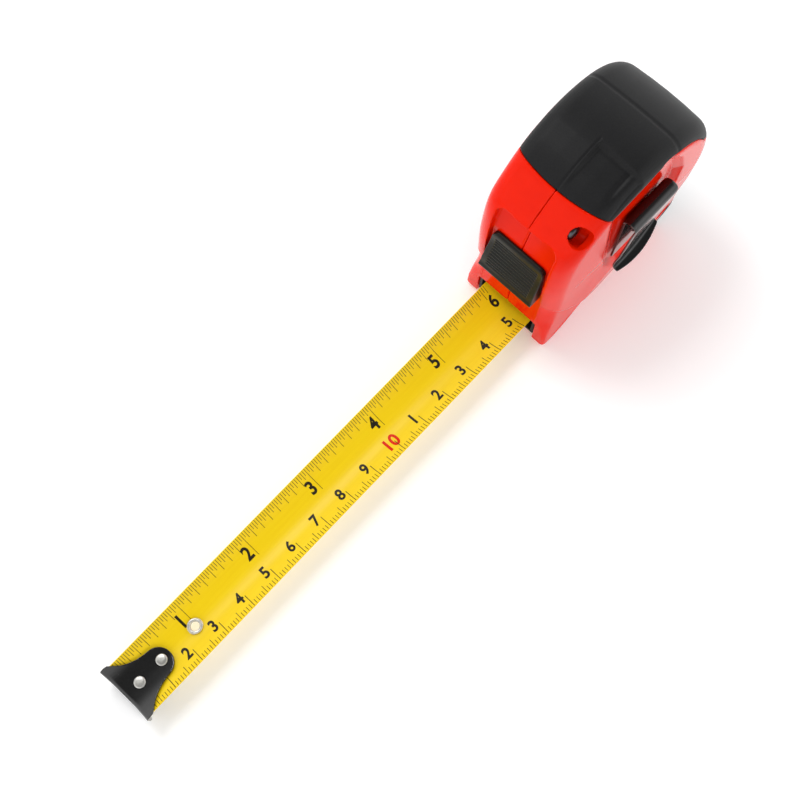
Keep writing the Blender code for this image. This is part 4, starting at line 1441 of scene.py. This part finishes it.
@dataclass
class Clip:
    """The belt clip: its sprung arm and the leg that is screwed down.

    Attributes:
        bend: Centre of the bend, (X, Z).
        radius: Its outer radius.
        thick: Thickness of the steel.
        middle: Y of the clip's middle.
        half: Half its width.
    """

    bend: Point = (16.7, 49.5)
    radius: float = 2.45
    thick: float = 0.75
    middle: float = 6.2
    half: float = 8.7

    def path(self) -> Outline:
        """The middle of the sheet from the bend's root to the lip, in (X, Z)."""
        centre_radius = self.radius - self.thick / 2
        bend = arc(self.bend, centre_radius, 180, 4, 22)
        x = self.bend[0] + centre_radius
        leg = spline([bend[-1], (x - 0.8, 42.0), (x - 1.9, 34.0), (x - 2.85, 28.4), (x - 2.85, 26.8)], 5)
        flare = spline([(x - 2.85, 26.8), (x - 2.1, 25.3), (x - 0.8, 24.75), (x + 0.7, 24.55)], 4)
        return bend + leg[1:] + flare + [(x + 0.7, 24.55)]

    def arm(self) -> Solid:
        """The bent strip with its lens-shaped lip."""
        path = self.path()
        columns = 24
        flare_from = len(path) - 13
        rings = []
        for column in range(columns + 1):
            share = 2 * column / columns - 1
            y = self.middle + share * self.half
            trim = 0.0 if abs(share) < 1 else 0.12
            first, second = [], []
            for index, (x, z) in enumerate(path):
                before, after = path[max(0, index - 1)], path[min(len(path) - 1, index + 1)]
                along = unit(after[0] - before[0], after[1] - before[1])
                if index > flare_from:
                    root = path[flare_from]
                    reach = 0.94 - 0.45 * share**2
                    x, z = root[0] + (x - root[0]) * reach, root[1] + (z - root[1]) * reach
                low = float(ramp(z, 48.0, 26.0)) * (1 - share) / 2
                x, z = x + 0.9 * low, z - 4.4 * low
                half = self.thick / 2 - trim
                first.append((x - along[1] * half, y, z + along[0] * half))
                second.append((x + along[1] * half, y, z - along[0] * half))
            rings.append(first + second[::-1])
        body = loft("belt_clip", rings)
        fillet(body, 0.16, 3)
        return dress(body, BLACK_PAINT, "clip", "clip_arm")

    def leg(self) -> Solid:
        """The flat leg in the pocket, with the screw's hole."""
        body = block("clip_leg_plate", (14.3, self.middle - 7.6, 24.4), (15.0, self.middle + 7.6, 48.9))
        use(body, Solver.CUT, rod("leg_hole", self.middle, 36.5, 1.6, 13.0, 16.0))
        fillet(body, 0.14, 3)
        return dress(body, BLACK_PAINT, "case", "clip_leg")

    def build(self) -> None:
        """Builds the clip's arm and leg."""
        self.arm()
        self.leg()


@dataclass
class CrossScrew:
    """A pan-head screw along X with a tapered cross recess.

    Attributes:
        name: The piece's name.
        node: The CAD node that it stands for.
        place: (Y, Z) of its axis.
        seat: X of its head's underside.
        tip: X of its end.
        head: Radius of the head.
        high: Height of the head.
        body: The CAD body that it rides on.
    """

    name: str
    node: str
    place: Point
    seat: float
    tip: float
    head: float = 2.8
    high: float = 1.5
    body: str = "case"

    def build(self) -> None:
        """Builds the screw and cuts its cross."""
        sign = 1 if self.seat > self.tip else -1
        seat, tip, top = sign * self.seat, sign * self.tip, sign * self.seat + self.high
        profile = [(tip, 0.0), (tip, 1.0), (tip + 0.4, 1.3), (seat, 1.3), (seat, self.head - 0.15)]
        profile += [(seat + 0.15, self.head)]
        for step in range(1, 9):
            turn = math.radians(90 * step / 8)
            rise = (self.high - 0.15) * math.sin(turn) ** 0.8
            profile.append((seat + 0.15 + rise, self.head * math.cos(turn) ** 0.45))
        profile[-1] = (top, 0.0)
        body = turned(self.name, profile, along_x(*self.place, sign), 40)
        y, z = self.place
        low, high = sorted((sign * (top - 1.0), sign * (top + 0.3)))
        tools = []
        for wide, tall in ((1.6, 0.34), (0.34, 1.6)):
            outer = [(y - wide, z - tall), (y + wide, z - tall), (y + wide, z + tall), (y - wide, z + tall)]
            inner = [(y + (a - y) * 0.35, z + (b - z) * 0.55) for a, b in outer]
            first, second = (inner, outer) if sign > 0 else (outer, inner)
            tools.append(slab("cross", first, low, high, second))
        use(body, Solver.CUT, *tools)
        crisp(body, 35)
        dress(body, DARK_STEEL, self.body, self.node, slot="spring_steel")


# ---------------------------------------------------------------- studio


@dataclass
class Studio:
    """Pale floor, soft lights and the camera.

    Attributes:
        camera: The camera's place in metres.
        tilt: Its tilt from straight down.
        turn: Its turn about the vertical.
        lens: Its focal length on a 36 mm sensor.
        horizon: Brightness of the sky low down.
        zenith: Brightness of the sky overhead.
    """

    camera: tuple[float, float, float] = (0.0638, -0.1401, 0.3684)
    tilt: float = 0.2636
    turn: float = 0.7543
    lens: float = 58.84
    horizon: float = 1.6
    zenith: float = 0.2

    def floor(self) -> None:
        """A wide matt floor, lit a little from below, that takes soft shadows."""
        size = 3000.0
        points = [(-size, -size, 0.0), (size, -size, 0.0), (size, size, 0.0), (-size, size, 0.0)]
        mesh = bpy.data.meshes.new("floor")
        mesh.from_pydata(metres(points), [], [(0, 1, 2, 3)])
        material = bpy.data.materials.new("floor")
        material.use_nodes = True
        tree = material.node_tree
        white = {"Emission Color": (1.0, 1.0, 1.0, 1.0), "Emission Strength": 0.14}
        matt = {"Base Color": (0.93, 0.93, 0.93, 1.0), "Roughness": 0.9}
        fill(tree, tree.nodes["Principled BSDF"], matt | white)
        mesh.materials.append(material)
        put("floor", mesh)

    def lamp(self, name: str, place: Sequence[float], size: float, power: float) -> None:
        """A soft square lamp that faces the object."""
        light = bpy.data.lights.new(name, "AREA")
        light.shape = "SQUARE"
        light.size = size
        light.energy = power
        obj = put(name, light)
        obj.location = place
        aim = Vector((0.0, -0.06, 0.03)) - Vector(place)
        obj.rotation_euler = aim.to_track_quat("-Z", "Y").to_euler()

    def sky(self) -> None:
        """A sky that is bright low down and dim overhead, so that dark tops stay dark."""
        world = bpy.data.worlds.new("studio")
        world.use_nodes = True
        tree = world.node_tree
        place = add_node(tree, "TexCoord", {}).outputs["Generated"]
        height = add_node(tree, "SeparateXYZ", {0: place}).outputs["Z"]
        levels = {"From Min": 0.5, "From Max": 0.9, "To Min": self.horizon, "To Max": self.zenith}
        fade = add_node(tree, "MapRange", {"Value": height, **levels}, interpolation_type="SMOOTHSTEP")
        white = (1.0, 1.0, 1.0, 1.0)
        fill(tree, tree.nodes["Background"], {"Color": white, "Strength": fade.outputs["Result"]})
        bpy.context.scene.world = world

    def build(self) -> None:
        """Sets up the floor, sky, lamp and camera."""
        self.floor()
        self.sky()
        self.lamp("key", (-0.3, -0.05, 0.6), 0.22, 1.6)
        camera = bpy.data.cameras.new("camera")
        camera.lens = self.lens
        camera.sensor_width = 36.0
        camera.clip_start = 0.01
        obj = put("camera", camera)
        obj.location = self.camera
        obj.rotation_euler = (self.tilt, 0.0, self.turn)
        bpy.context.scene.camera = obj
        bpy.context.scene.view_settings.view_transform = "Standard"


def dress_nodes() -> None:
    """Gives every CAD node that stays in view a procedural finish."""
    slots = {entry["node"]: entry["material_slot"] for entry in frame["record"]["subparts"]}
    for name, obj in frame["nodes"].items():
        finish = NODE_FINISH[slots[name]]
        for index in range(max(1, len(obj.material_slots))):
            if not obj.material_slots:
                obj.data.materials.append(finish.material())
            obj.material_slots[index].material = finish.material()
        log.info("%s keeps its CAD shape or a detailed one, in %s", name, finish.name)


def screws() -> list[CrossScrew]:
    """The screws that can be seen."""
    return [
        CrossScrew("screw_front", "front_case_screw", (-18.8, 63.6), 9.0, -8.0, head=2.3, high=1.2),
        CrossScrew("screw_rear", "rear_case_screw", (25.0, 10.5), 12.0, -8.0),
        CrossScrew("screw_post", "post_screw", (6.2, 36.5), -13.3, -9.2, high=1.2),
        CrossScrew("screw_clip", "clip_screw", (6.2, 36.5), 15.4, 9.2, high=0.9),
    ]


def main() -> None:
    """Builds the whole tape measure and its studio."""
    logging.basicConfig(level=logging.INFO, format="%(message)s")
    dress_nodes()
    case = Case()
    case.build()
    Lock(case).build()
    blade = Blade()
    blade.build()
    Hook(blade).build()
    Clip().build()
    for screw in screws():
        screw.build()
    Studio().build()


if __name__ == "__main__":
    main()
